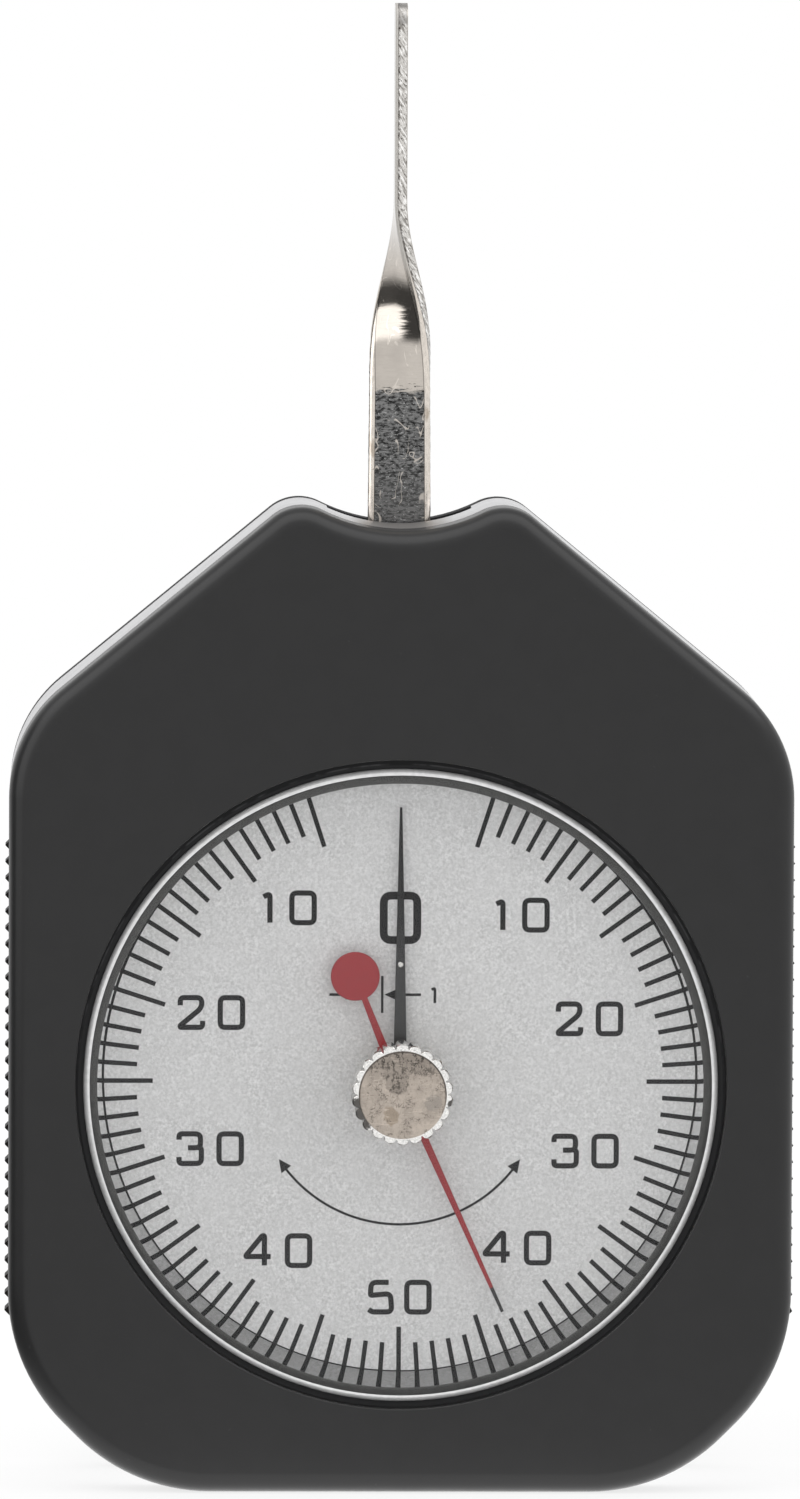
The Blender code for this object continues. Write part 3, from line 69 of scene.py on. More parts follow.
# Places that the frame gives
SHELL_LOW, SHELL_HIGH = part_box("front_shell")
FRAME_LOW, FRAME_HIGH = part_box("middle_frame")
COVER_LOW, COVER_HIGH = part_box("back_cover")
CRYSTAL_LOW, CRYSTAL_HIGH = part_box("crystal")
RING_LOW, RING_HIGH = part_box("spacer_ring")
DIAL_LOW, DIAL_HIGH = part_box("dial_plate")
KNOB_LOW, KNOB_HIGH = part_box("reset_knob")
RED_LOW, RED_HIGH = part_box("red_pointer")
BLACK_LOW, BLACK_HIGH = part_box("black_pointer")
STYLUS_LOW, STYLUS_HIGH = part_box("stylus")
PLATE_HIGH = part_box("movement_plate")[1]
SPINDLE = (DIAL_LOW.z + DIAL_HIGH.z) / 2
HALF_WIDTH = SHELL_HIGH.x
DIAL_RADIUS = DIAL_HIGH.x
FLANGE_RADIUS = CRYSTAL_HIGH.x

# Walls, bosses and screws of the case
PANEL, SHELL_WALL, COVER_PANEL, INNER_WALL = 1.6 * MM, 1.8 * MM, 1.4 * MM, 2.6 * MM
BOSS, SHANK_HOLE, HEAD_ROOM = 3.0 * MM, 1.05 * MM, 2.0 * MM
SHANK, SHANK_POINT = 0.95 * MM, 0.1 * MM
HEAD, HEAD_HEIGHT, HEAD_ROUND, HEAD_SUNK = 1.9 * MM, 1.1 * MM, 0.3 * MM, 0.1 * MM
RECESS_LENGTH, RECESS_WIDTH, RECESS_DEPTH = 2.10 * MM, 0.38 * MM, 0.75 * MM
SEAM_EDGE, FRAME_EDGE = 0.12 * MM, 0.15 * MM
GRIP_SUNK = 0.34 * MM
SLOT_HALF, SLOT_FRONT = 5.87 * MM, 3.8 * MM

# The stylus, from its foot to its tip
STRIP_WIDTH, STRIP_THICKNESS, STRIP_TAPER, TIP_ROUND = 5.1 * MM, 1.0 * MM, 0.2 * MM, 1.6 * MM
TAPER_START, TWIST_START, GROUND_TOP, TWIST_END = 77.4 * MM, 87.1 * MM, 88.2 * MM, 103.6 * MM

# What several finishes share: two dark tones, and a spot (x, z, radius) on the knob's ribs with painted
# dark reflection
SOOT, DIRT = (0.05, 0.04, 0.032), (0.10, 0.09, 0.08)
KNOB_DARK_REFLECTION = (-3.6 * MM, SPINDLE - 1.65 * MM, 1.6 * MM)

# Where gloss sees the soft box and the end of the dark strip, in degrees from the front to the left
SOFT_BOX, STRIP_END = (38.0, 46.0, 80.0, 86.0), (106.0, 130.0)


def length(name, description, millimetres):
    """A length that the user can change."""
    return FloatProperty(name=name, description=description, default=millimetres * MM, unit="LENGTH")


def tint(name, description, colour):
    """A colour that the user can change."""
    return FloatVectorProperty(name=name, description=description, default=colour, subtype="COLOR")


class GaugeSizes(PropertyGroup):
    """Sizes that a maker of this gauge would change."""

    base_chamfer: length("Base chamfer", "How far the lower corners are cut back", 10.0)
    base_round: length("Base rounding", "Radius of the lower corners", 15.1)
    shoulder_height: length("Shoulder height", "Height of the shoulder corners", 61.2)
    shoulder_round: length("Shoulder rounding", "Radius of the shoulders", 11.2)
    horn_height: length("Horn height", "Height of the horns' corners", 80.0)
    horn_span: length("Horn span", "Distance between the horns' corners", 17.2)
    horn_round: length("Horn rounding", "Radius of the horns", 3.7)
    notch_drop: length("Notch drop", "Depth of the notch between the horns", 4.2)
    front_fillet: length("Front fillet", "Rounding of the shell's front edge", 1.7)
    back_fillet: length("Back fillet", "Rounding of the cover's back edge", 0.4)
    window_radius: length("Window radius", "Radius of the shell's opening", 26.12)
    window_lift: length("Window lift", "How far the opening's middle is above the spindle", 0.30)
    window_edge: length("Window edge", "Rounding of the opening's front edge", 0.16)
    crystal_lift: length("Crystal lift", "How far the crystal's middle is above the spindle", 0.16)
    crystal_gap: length("Crystal gap", "Gap between the crystal and the opening", 0.62)
    lip_radius: length("Lip radius", "Front opening of the dark ring", 24.37)
    bore_radius: length("Bore radius", "Opening of that ring at the dial", 23.94)
    bore_lift: length("Bore lift", "How far that opening's middle is above the spindle", 0.56)
    grip_teeth: IntProperty(name="Grip teeth", description="Serrations on each side", default=29, min=1)
    grip_pitch: length("Grip pitch", "Distance between serrations", 1.343)
    grip_lift: length("Grip lift", "How far the grips' middle is above the spindle", 0.32)
    grip_depth: length("Grip depth", "Height of a serration", 0.67)
    grip_front: length("Grip front", "Depth of the part that stands proud", 2.6)
    tick_start_long: length("Long tick start", "Inner radius of every fifth tick", 19.9)
    tick_start_short: length("Short tick start", "Inner radius of the other ticks", 21.2)
    tick_width: length("Tick width", "Width of a tick", 0.37)
    digit_width: length("Digit width", "Width of a digit on the dial", 1.80)
    digit_height: length("Digit height", "Height of a digit on the dial", 2.40)
    digit_gap: length("Digit gap", "Gap between two digits", 1.42)
    digit_stroke: length("Digit stroke", "Width of a digit's stroke", 0.43)
    digit_round: length("Digit rounding", "Radius of a digit's corners", 0.42)
    fine_stroke: length("Fine stroke", "Width of the dial's fine lines", 0.20)
    print_lift: length("Print lift", "How far the print sits above the spindle", 0.17)
    ink_height: length("Ink height", "How far the print stands proud", 0.012)
    knob_lobes: IntProperty(name="Knob lobes", description="Rounded ribs round the knob", default=22, min=6)
    knob_radius: length("Knob radius", "Radius between the knob's ribs", 3.66)
    knob_rib: length("Knob rib", "Height of a rib", 0.42)
    black_reach: length("Black needle reach", "From the spindle to the black needle's tip", 22.35)
    red_reach: length("Red needle reach", "From the spindle to the red needle's tip", 20.13)
    red_tail: length("Red tail", "From the spindle to the middle of the red disc", 9.5)
    red_disc: length("Red disc", "Radius of the red needle's disc", 1.97)
    red_turn: FloatProperty(
        name="Red needle at",
        description="Dial angle of the red needle",
        default=math.radians(155.6),
        subtype="ANGLE",
    )


class GaugeColours(PropertyGroup):
    """Colours that a maker of this gauge would change."""

    shell: tint("Shell", "Matt black of shell and cover", (0.0085, 0.0085, 0.0088))
    frame: tint("Frame", "Blasted aluminium", (0.68, 0.68, 0.69))
    grip: tint("Grip", "Blackened serrations", (0.012, 0.011, 0.010))
    ring: tint("Ring", "Dark ring under the crystal", (0.075, 0.075, 0.073))
    bore: tint("Bore", "Polished bore of that ring", (0.42, 0.42, 0.42))
    bevel: tint("Bevel", "Milled bevel of the crystal", (0.66, 0.66, 0.66))
    dial: tint("Dial", "Silver of the dial", (0.62, 0.62, 0.62))
    ink: tint("Ink", "Print on the dial", (0.012, 0.012, 0.013))
    nickel: tint("Nickel", "Plated screws and ribs", (0.74, 0.73, 0.71))
    knob: tint("Knob", "Worn plating of the knob's face", (0.47, 0.41, 0.355))
    steel: tint("Steel", "Smooth steel of the stylus", (0.57, 0.525, 0.475))
    ground: tint("Ground steel", "Ground part of the stylus", (0.106, 0.106, 0.105))
    brass: tint("Brass", "Brass of the movement", (0.72, 0.55, 0.26))
    spring: tint("Spring", "Blued spring steel", (0.16, 0.19, 0.30))
    red: tint("Red", "Paint of the red needle", (0.30, 0.030, 0.036))
    black: tint("Black", "Paint of the black needle", (0.045, 0.045, 0.046))
    floor: tint("Floor", "Plain floor", (0.90, 0.90, 0.90))


# Shader maths
class Value:
    """A number socket that takes part in Python sums, each of which adds a Math node."""

    def __init__(self, tree, socket):
        self.tree = tree
        self.socket = socket

    def sum(self, operation, *parts):
        made = self.tree.nodes.new("ShaderNodeMath")
        made.operation = operation
        for slot, part in zip(made.inputs, parts):
            if isinstance(part, Value):
                self.tree.links.new(part.socket, slot)
            else:
                slot.default_value = part
        return Value(self.tree, made.outputs[0])

    def __add__(self, other):
        return self.sum("ADD", self, other)

    def __radd__(self, other):
        return self.sum("ADD", other, self)

    def __sub__(self, other):
        return self.sum("SUBTRACT", self, other)

    def __rsub__(self, other):
        return self.sum("SUBTRACT", other, self)

    def __mul__(self, other):
        return self.sum("MULTIPLY", self, other)

    def __rmul__(self, other):
        return self.sum("MULTIPLY", other, self)

    def __pow__(self, other):
        return self.sum("POWER", self, other)

    def __abs__(self):
        return self.sum("ABSOLUTE", self)

    def least(self, other):
        return self.sum("MINIMUM", self, other)

    def most(self, other):
        return self.sum("MAXIMUM", self, other)

    def bearing(self, ahead):
        """The angle of a direction that goes this far to the side and that far ahead."""
        return self.sum("ARCTAN2", self, ahead)


class Finish:
    """A material, or the world, whose nodes are made by one method."""

    def __init__(self, block):
        block.use_nodes = True
        self.block = block
        self.tree = block.node_tree
        self.tree.nodes.clear()

    def node(self, kind, settings=None, **inputs):
        """A node of that kind. settings are set first, then the values or links of its sockets."""
        made = self.tree.nodes.new("ShaderNode" + kind)
        for name, value in (settings or {}).items():
            setattr(made, name, value)
        for name, value in inputs.items():
            label = name.replace("_", " ")
            socket = next(s for s in made.inputs if s.enabled and s.name == label)
            if isinstance(value, Value):
                value = value.socket
            if isinstance(value, bpy.types.NodeSocket):
                self.tree.links.new(value, socket)
            elif isinstance(value, tuple) and len(value) == 3 and socket.type == "RGBA":
                socket.default_value = (*value, 1.0)
            else:
                socket.default_value = value
        return made

    def out(self, made, name=None):
        socket = made.outputs[name] if name else next(s for s in made.outputs if s.enabled)
        return Value(self.tree, socket)

    def where(self, on=None):
        """Object coordinates, or the piece's own attribute of that name."""
        if on:
            return self.node("Attribute", {"attribute_name": on}).outputs["Vector"]
        return self.node("TexCoord").outputs["Object"]

    def grain(self, size, detail=2.0, rough=0.5, stretch=(1.0, 1.0, 1.0), turn=0.0, warp=0.0, on=None):
        """Noise with features of that size in metres, longer where stretch is below 1, turned about X."""
        turned = self.node(
            "Mapping",
            {"vector_type": "TEXTURE"},
            Vector=self.where(on),
            Rotation=(turn, 0.0, 0.0),
            Scale=tuple(1.0 / share for share in stretch),
        )
        made = self.node(
            "TexNoise",
            Vector=turned.outputs[0],
            Scale=1.0 / size,
            Detail=detail,
            Roughness=rough,
            Distortion=warp,
        )
        return self.out(made, "Fac")

    def between(self, value, low, high, to_low=0.0, to_high=1.0):
        """The value's way from low to high, smoothed and kept inside the new limits."""
        made = self.node(
            "MapRange",
            {"interpolation_type": "SMOOTHSTEP"},
            Value=value,
            From_Min=low,
            From_Max=high,
            To_Min=to_low,
            To_Max=to_high,
        )
        return self.out(made)

    def below(self, value, low, high):
        """1 below low, and 0 above high."""
        return self.between(value, low, high, 1.0, 0.0)

    def band(self, value, start, full, fading, end):
        """1 from full to fading, and 0 before the start and after the end."""
        return self.between(value, start, full) * self.below(value, fading, end)

    def vein(self, value, width):
        """1 along the thin curves where a noise passes its middle, and 0 beside them."""
        return self.below(abs(value - 0.5), width * 0.3, width)

    def along(self, axis, start=0.0, on=None):
        """The distance along one of the axes, from that start."""
        return self.out(self.node("SeparateXYZ", Vector=self.where(on)), axis) - start

    def reach(self, x=0.0, z=SPINDLE):
        """The distance in the dial's plane from a place, which is the spindle if not given."""
        across, up = self.along("X", x), self.along("Z", z)
        return (across * across + up * up) ** 0.5

    def blot(self, place, uneven):
        """A spot (x, z, radius) on the front, 1 inside and 0 outside, with an uneven edge."""
        x, z, radius = place
        return self.below(self.reach(x, z) + (uneven - 0.5) * (2.0 * radius), radius * 0.75, radius)

    def mix(self, factor, first, second):
        """A colour between two others."""
        made = self.node("Mix", {"data_type": "RGBA"}, Factor=factor, A=first, B=second)
        return next(s for s in made.outputs if s.enabled)

    def layered(self, tone, *layers):
        """A tone under others, each given as its share and its colour."""
        for share, colour in layers:
            tone = self.mix(share, tone, colour)
        return tone

    def shades(self, value, colour, first, second, low=0.3, high=0.7):
        """A colour between two shares of itself, as the value goes from low to high."""
        return self.mix(self.between(value, low, high), lighter(colour, first), lighter(colour, second))

    def mixed(self, share, first, second):
        """A Mix Shader of two closures."""
        made = self.node("MixShader", Fac=share)
        self.tree.links.new(first, made.inputs[1])
        self.tree.links.new(second, made.inputs[2])
        return made.outputs[0]

    def glow(self, level, strength=1.0):
        """Grey light of that level."""
        return self.node("Emission", Color=(level, level, level), Strength=strength).outputs[0]

    def surface(self, tone, rough, relief=None, **inputs):
        """The finished material. relief is the bump's (height, distance, strength)."""
        if relief:
            height, distance, strength = relief
            bump = self.node("Bump", Height=height, Distance=distance, Strength=strength)
            inputs["Normal"] = bump.outputs["Normal"]
        shader = self.node("BsdfPrincipled", Base_Color=tone, Roughness=rough, **inputs)
        return self.close(shader.outputs["BSDF"])

    def close(self, shader, kind="OutputMaterial"):
        out = self.node(kind)
        self.tree.links.new(shader, out.inputs["Surface"])
        return self.block


def finish_of(make):
    """The material of a finish, made once by its function and named after it."""
    name = make.__name__
    known = bpy.data.materials.get(name)
    return known or make(Finish(bpy.data.materials.new(name)), bpy.context.scene.gauge_colours)


def lighter(colour, share):
    return tuple(min(1.0, c * share) for c in colour)


# Finishes
def matt_black(f, colours):
    """Fine-textured matt black with faint mottling and pale dust."""
    texture = f.grain(0.16 * MM, 3.0, 0.6)
    mottle = f.grain(2.4 * MM, 4.0, 0.6)
    dust = f.between(f.grain(0.5 * MM), 0.72, 0.78)
    tone = f.shades(mottle, colours.shell, 0.94, 1.07, 0.35, 0.65)
    tone = f.mix(dust * 0.5, tone, lighter(colours.shell, 3.0))
    rough = f.between(mottle, 0.3, 0.7, 0.42, 0.48) + texture * 0.06
    relief = (texture, 0.02 * MM, 0.4)
    return f.surface(tone, rough, relief, Specular_IOR_Level=0.22, Coat_Weight=0.36, Coat_Roughness=0.22)


def dull_black(f, colours):
    """The back cover's black, which has no shine."""
    texture = f.grain(0.16 * MM, 3.0, 0.6)
    tone = f.shades(texture, colours.shell, 2.2, 3.0)
    return f.surface(tone, 0.6, (texture, 0.02 * MM, 0.4), Specular_IOR_Level=0.06)


def blasted_aluminium(f, colours):
    """Bead-blasted aluminium with cloudy patches, and painted shade round the slot where the stylus leaves
    it.
    """
    blast = f.grain(0.09 * MM, 3.0, 0.6)
    patches = f.grain(3.0 * MM, 3.0, 0.55)
    tone = f.shades(patches, colours.frame, 0.93, 1.04)
    # Painted shade: the frame is darkened to a brownish grey round the stylus's slot.
    painted_slot_shade = f.below(abs(f.along("X")), 3.0 * MM, 4.4 * MM) * f.between(f.along("Z"), 73.0 * MM, 74.0 * MM)
    tone = f.mix(painted_slot_shade * (0.65 + patches * 0.3), tone, (0.33, 0.31, 0.295))
    rough = f.between(blast, 0.2, 0.8, 0.34, 0.46)
    return f.surface(tone, rough, (blast, 0.012 * MM, 0.35), Metallic=1.0)


def black_serrations(f, colours):
    """Blackened metal of the grips, rubbed a little brighter in spots."""
    rubbed = f.grain(0.25 * MM, 3.0, 0.6)
    spots = f.between(rubbed, 0.58, 0.72) * 0.5
    tone = f.mix(spots, colours.grip[:], lighter(colours.grip, 4.0))
    return f.surface(tone, 0.5, (rubbed, 0.01 * MM, 0.4), Specular_IOR_Level=0.1)


def dark_anodised(f, colours):
    """The dark ring, a little cloudy."""
    streaks = f.grain(0.5 * MM, 3.0, 0.6)
    tone = f.shades(streaks, colours.ring, 0.9, 1.12)
    return f.surface(tone, 0.42, (streaks, 0.004 * MM, 0.5), Metallic=0.25)


def polished_bore(f, colours):
    """The ring's polished bore, which mirrors the ticks beside it, with a painted highlight that makes it
    brighter above.
    """
    marks = f.grain(0.5 * MM)
    tone = f.shades(marks, colours.bore, 0.96, 1.03)
    # Painted highlight: the bore's colour grows lighter towards the top.
    upper = f.between(f.along("Z", SPINDLE), -20.0 * MM, 4.0 * MM)
    tone = f.mix(upper, tone, lighter(colours.bore, 2.2))
    return f.surface(tone, 0.05, (marks, 0.001 * MM, 0.3), Metallic=1.0)


def silver_dial(f, colours):
    """Silver paint with a fine grain and faint cloudy patches."""
    grain = f.grain(0.24 * MM, 3.0, 0.8)
    coarse = f.grain(0.6 * MM, 3.0, 0.6)
    clouds = f.grain(5.0 * MM, 3.0, 0.5)
    tone = f.shades(grain, colours.dial, 0.74, 1.26)
    tone = f.mix(f.between(coarse, 0.35, 0.65) * 0.5, tone, lighter(colours.dial, 0.92))
    tone = f.mix(f.between(clouds, 0.35, 0.65) * 0.3, tone, lighter(colours.dial, 1.04))
    rough = f.between(grain, 0.2, 0.8, 0.40, 0.52)
    return f.surface(tone, rough, (grain, 0.004 * MM, 0.5), Metallic=0.12)


def dial_ink(f, colours):
    """Printed dark grey, a little uneven, with painted shade that darkens it in the dial's upper part."""
    uneven = f.grain(0.12 * MM, 2.0, 0.6)
    tone = f.shades(uneven, colours.ink, 0.85, 1.3)
    # Painted shade: the print is made darker in the dial's upper part.
    upper = f.between(f.along("Z", SPINDLE), 2.0 * MM, 18.0 * MM)
    tone = f.mix(upper, tone, lighter(colours.ink, 0.35))
    return f.surface(tone, 0.55, (uneven, 0.003 * MM, 0.4), Specular_IOR_Level=0.3)


def worn_nickel(f, colours):
    """The knob's face: scratches, dull blots, a darker, pitted upper part, and a painted groove shadow
    along the upper rim.
    """
    scratch = f.grain(0.12 * MM, 4.0, 0.7, stretch=(0.12, 1.0, 1.0), warp=0.6)
    across = f.grain(0.12 * MM, 4.0, 0.7, stretch=(1.0, 1.0, 0.15), warp=0.4)
    cloud = f.grain(1.1 * MM, 4.0, 0.6)
    pits = f.between(f.grain(0.22 * MM, 4.0, 0.75, stretch=(1.0, 1.0, 0.6)), 0.50, 0.58)
    curls = f.vein(f.grain(0.55 * MM, 3.0, 0.65, warp=0.7), 0.035)
    curls = curls * f.between(f.grain(0.9 * MM), 0.50, 0.56)
    up = f.along("Z", SPINDLE)
    worn = f.blot((-0.6 * MM, SPINDLE + 1.3 * MM, 1.2 * MM), cloud) * 0.7
    dark = f.between(up + (cloud - 0.5) * (2.2 * MM), 0.6 * MM, 3.2 * MM).most(worn)
    left = f.blot((-1.0 * MM, SPINDLE - 1.7 * MM, 0.85 * MM), cloud)
    right = f.blot((2.4 * MM, SPINDLE - 0.5 * MM, 0.7 * MM), cloud)
    # Painted shadow: a dark line along the upper part of the face's rim, for the shade of the gap behind
    # it.
    line = f.between(f.reach(), 3.36 * MM, 3.43 * MM)
    line = line * f.between(up + abs(f.along("X")) * 0.3, -0.6 * MM, 1.2 * MM)
    tone = f.layered(
        f.shades(cloud, colours.knob, 0.84, 1.08, 0.35, 0.65),
        (left * 0.8, (0.33, 0.27, 0.21)),
        (right * 0.7, (0.31, 0.28, 0.25)),
        (dark * 0.70, lighter(colours.knob, 0.40)),
        (pits * (dark * 0.80 + 0.14), lighter(colours.knob, 0.10)),
        (curls * 0.7, lighter(colours.knob, 0.20)),
        (f.between(scratch, 0.58, 0.66) * 0.4, lighter(colours.knob, 1.6)),
        # The painted groove shadow along the upper rim.
        (line * 0.8, (0.06, 0.05, 0.045)),
    )
    rough = (f.between(cloud, 0.4, 0.6, 0.24, 0.36) + scratch * 0.08).least(0.6)
    relief = (scratch * 0.5 + across * 0.3 - pits * 0.6, 0.012 * MM, 0.6)
    return f.surface(tone, rough, relief, Metallic=0.85)


def bright_nickel(f, colours):
    """The knob's ribs: bright plating with dirt in its hollows and two spots of painted dark reflection."""
    marks = f.grain(0.15 * MM, 3.0, 0.6)
    dirt = f.between(f.grain(0.35 * MM, 3.0, 0.65), 0.60, 0.68)
    tone = f.shades(marks, colours.nickel, 1.0, 1.25)
    tone = f.mix(dirt * 0.5, tone, lighter(colours.nickel, 0.40))
    uneven = marks * 0.3 + 0.35
    # Painted reflection: two spots of ribs are darkened as if they mirrored a dark thing.
    tarnish = f.blot(KNOB_DARK_REFLECTION, uneven)
    tarnish = tarnish.most(f.blot((3.95 * MM, SPINDLE - 0.75 * MM, 0.42 * MM), uneven))
    tone = f.mix(tarnish * 0.92, tone, (0.05, 0.045, 0.04))
    rough = f.between(marks, 0.3, 0.7, 0.08, 0.16)
    return f.surface(tone, rough, (marks, 0.006 * MM, 0.4), Metallic=1.0)


def rib_edge(f, colours):
    """The outer edge of the knob's ribs, where the plating has worn brown, and darker still at the painted
    dark reflection.
    """
    worn = f.grain(0.4 * MM, 3.0, 0.6)
    tone = f.mix(f.between(worn, 0.40, 0.60), (0.20, 0.165, 0.135), lighter(colours.nickel, 1.1))
    # Painted reflection: the same dark spot on the ribs' outer edge.
    tone = f.mix(f.blot(KNOB_DARK_REFLECTION, worn * 0.3 + 0.35) * 0.92, tone, (0.03, 0.026, 0.022))
    return f.surface(tone, 0.3, (worn, 0.006 * MM, 0.4), Metallic=1.0)


def brushed_steel(f, colours):
    """The strip's flat: ground dark and dull below, smooth where it starts to twist."""
    brush = f.grain(0.11 * MM, 4.0, 0.7, stretch=(0.12, 0.12, 1.0), on="strip")
    speckle = f.grain(0.20 * MM, 4.0, 0.75, stretch=(0.5, 0.5, 1.0), on="strip")
    # Painted glints: small bright specks on the ground steel.
    painted_glints = f.between(f.grain(0.16 * MM, 3.0, 0.7, stretch=(0.7, 0.7, 1.0), on="strip"), 0.61, 0.67)
    scratch = f.vein(f.grain(2.4 * MM, 2.0, 0.5, stretch=(1.0, 1.0, 0.6), warp=1.0, on="strip"), 0.012)
    scratch = scratch * f.between(f.grain(1.4 * MM, on="strip"), 0.48, 0.54)
    stain = f.grain(1.6 * MM, 4.0, 0.6, on="strip")
    height = f.along("Z", GROUND_TOP, "strip")
    smooth = f.between(height + (brush - 0.5) * (3.0 * MM), -0.15 * MM, 0.15 * MM)
    border = f.below(abs(abs(f.along("X", 0.0, "strip")) - 2.04 * MM), 0.03 * MM, 0.06 * MM)
    bands = f.grain(0.42 * MM, stretch=(0.12, 0.12, 1.0), on="strip")
    bands = bands * f.band(height, 3.6 * MM, 5.0 * MM, 8.8 * MM, 10.5 * MM)
    dull = f.shades(speckle * 0.65 + brush * 0.35, colours.ground, 0.24, 2.2, 0.42, 0.57)
    dull = f.mix(f.between(height, -8.0 * MM, -6.0 * MM, 0.35, 0.0), dull, lighter(colours.ground, 1.5))
    # The painted glints are laid on as a light colour.
    dull = f.mix(painted_glints * 0.8, dull, lighter(colours.ground, 5.5))
    bright = f.shades(stain, colours.steel, 1.0, 0.93, 0.35, 0.65)
    bright = f.mix(f.between(brush, 0.45, 0.62) * 0.35, bright, lighter(colours.steel, 0.86))
    tone = f.mix(smooth, dull, bright)
    tone = f.layered(tone, (scratch * 0.7, lighter(colours.steel, 1.3)), (border * 0.6, DIRT))
    rough = (1.0 - smooth) * 0.30 + brush * 0.10 + 0.05
    furrows = brush * (1.35 - smooth * 0.7) + bands * 5.0 + speckle * (1.02 - smooth) + scratch * 0.3
    return f.surface(tone, rough, (furrows, 0.012 * MM, 0.5), Metallic=1.0)


def rolled_steel(f, colours):
    """The strip's rounded corners, bright with brown stains, and duller on the blade."""
    marks = f.grain(0.14 * MM, 4.0, 0.65, stretch=(1.0, 1.0, 0.3), on="strip")
    brown = f.between(f.grain(0.9 * MM, 3.0, 0.6, stretch=(1.0, 1.0, 0.3), on="strip"), 0.56, 0.66)
    blade = f.between(f.along("Z", GROUND_TOP, "strip"), 7.0 * MM, 12.0 * MM)
    specks = f.between(f.grain(0.22 * MM, 3.0, 0.7, on="strip"), 0.64, 0.70)
    tone = f.layered(
        f.shades(marks, colours.steel, 1.1, 1.45),
        (brown * 0.6, (0.36, 0.29, 0.22)),
        (blade * 0.85, (0.40, 0.39, 0.37)),
        (specks * 0.7, DIRT),
    )
    rough = f.between(marks, 0.3, 0.7, 0.12, 0.26) + blade * 0.3
    return f.surface(tone, rough, (marks, 0.006 * MM, 0.5), Metallic=1.0 - blade * 0.7)


def sheared_steel(f, colours):
    """The strip's sheared edge: slanted tear marks, near-white spots of painted glint, dark specks and
    borders.
    """
    slant = 0.5
    rough = f.grain(0.16 * MM, 4.0, 0.75, on="strip")
    tear = f.grain(0.17 * MM, 3.0, 0.6, stretch=(1.0, 1.0, 0.22), turn=slant, warp=0.3, on="strip")
    specks = f.grain(0.20 * MM, 3.0, 0.75, stretch=(1.0, 1.0, 0.6), turn=slant, on="strip")
    border = abs(f.along("Y", 0.10 * MM, "strip")) + (rough - 0.5) * (0.20 * MM)
    dots = f.below(abs(f.along("Y", -0.18 * MM, "strip")), 0.03 * MM, 0.07 * MM)
    dots = dots * f.between(f.grain(0.30 * MM, 3.0, 0.7, on="strip"), 0.46, 0.54)
    tip = f.between(f.along("Z", STYLUS_HIGH.z, "strip"), -1.9 * MM, -1.5 * MM)
    tone = f.layered(
        f.mix(f.between(tear, 0.38, 0.50), (0.30, 0.285, 0.265), (0.66, 0.64, 0.61)),
        (f.between(specks, 0.58, 0.63) * 0.9, SOOT),
        # Painted glints: near-white spots along the tear marks.
        (f.between(tear, 0.55, 0.60) * 0.9, (1.0, 0.99, 0.97)),
        (dots * 0.85, SOOT),
        (f.between(border, 0.30 * MM, 0.36 * MM) * 0.75, (0.08, 0.07, 0.06)),
        (tip * 0.7, (0.22, 0.21, 0.20)),
    )
    relief = (rough * 0.6 + tear * 0.8, 0.06 * MM, 0.7)
    return f.surface(tone, f.between(rough, 0.3, 0.7, 0.24, 0.46), relief, Metallic=0.85)


def needle_black(f, colours):
    """Satin black paint with a fine orange peel, and painted shade that darkens it towards the point."""
    peel = f.grain(0.2 * MM)
    tone = f.shades(peel, colours.black, 0.9, 1.15)
    # Painted shade: the needle is made darker towards its point.
    point = f.between(f.along("Z", SPINDLE), 8.0 * MM, 16.0 * MM)
    tone = f.mix(point, tone, lighter(colours.black, 0.3))
    return f.surface(tone, 0.42, (peel, 0.004 * MM, 0.4), Specular_IOR_Level=0.25)


def needle_red(f, colours):
    """Red paint, and black on the last stretch of the needle's point."""
    peel = f.grain(0.25 * MM)
    tone = f.shades(peel, colours.red, 0.94, 1.06)
    tip = f.between(f.reach(), 17.94 * MM, 18.02 * MM)
    tone = f.mix(tip, tone, lighter(colours.black, 0.8))
    return f.surface(tone, 0.34, (peel, 0.004 * MM, 0.4), Specular_IOR_Level=0.3, Coat_Weight=0.1)


def turned_brass(f, colours):
    """Machined brass with fine turning marks and a slight tarnish."""
    marks = f.grain(0.12 * MM, 3.0, 0.6, stretch=(1.0, 0.25, 1.0))
    tarnish = f.grain(2.5 * MM, 4.0, 0.6)
    tone = f.shades(tarnish, colours.brass, 1.0, 0.72, 0.4, 0.7)
    rough = f.between(tarnish, 0.3, 0.7, 0.24, 0.40)
    return f.surface(tone, rough, (marks, 0.008 * MM, 0.5), Metallic=1.0)


def plain_nickel(f, colours):
    """Plated steel of screws, pins and shafts."""
    marks = f.grain(0.15 * MM, 3.0, 0.6, stretch=(1.0, 0.3, 1.0))
    tone = f.shades(marks, colours.nickel, 0.92, 1.08)
    rough = f.between(marks, 0.3, 0.7, 0.20, 0.34)
    return f.surface(tone, rough, (marks, 0.006 * MM, 0.5), Metallic=1.0)


def blued_spring(f, colours):
    """Blued spring steel, from blue to straw."""
    heat = f.between(f.grain(3.0 * MM), 0.55, 0.75)
    tone = f.mix(heat, colours.spring[:], (0.36, 0.27, 0.14))
    return f.surface(tone, 0.26, (f.grain(0.1 * MM), 0.003 * MM, 0.4), Metallic=1.0)


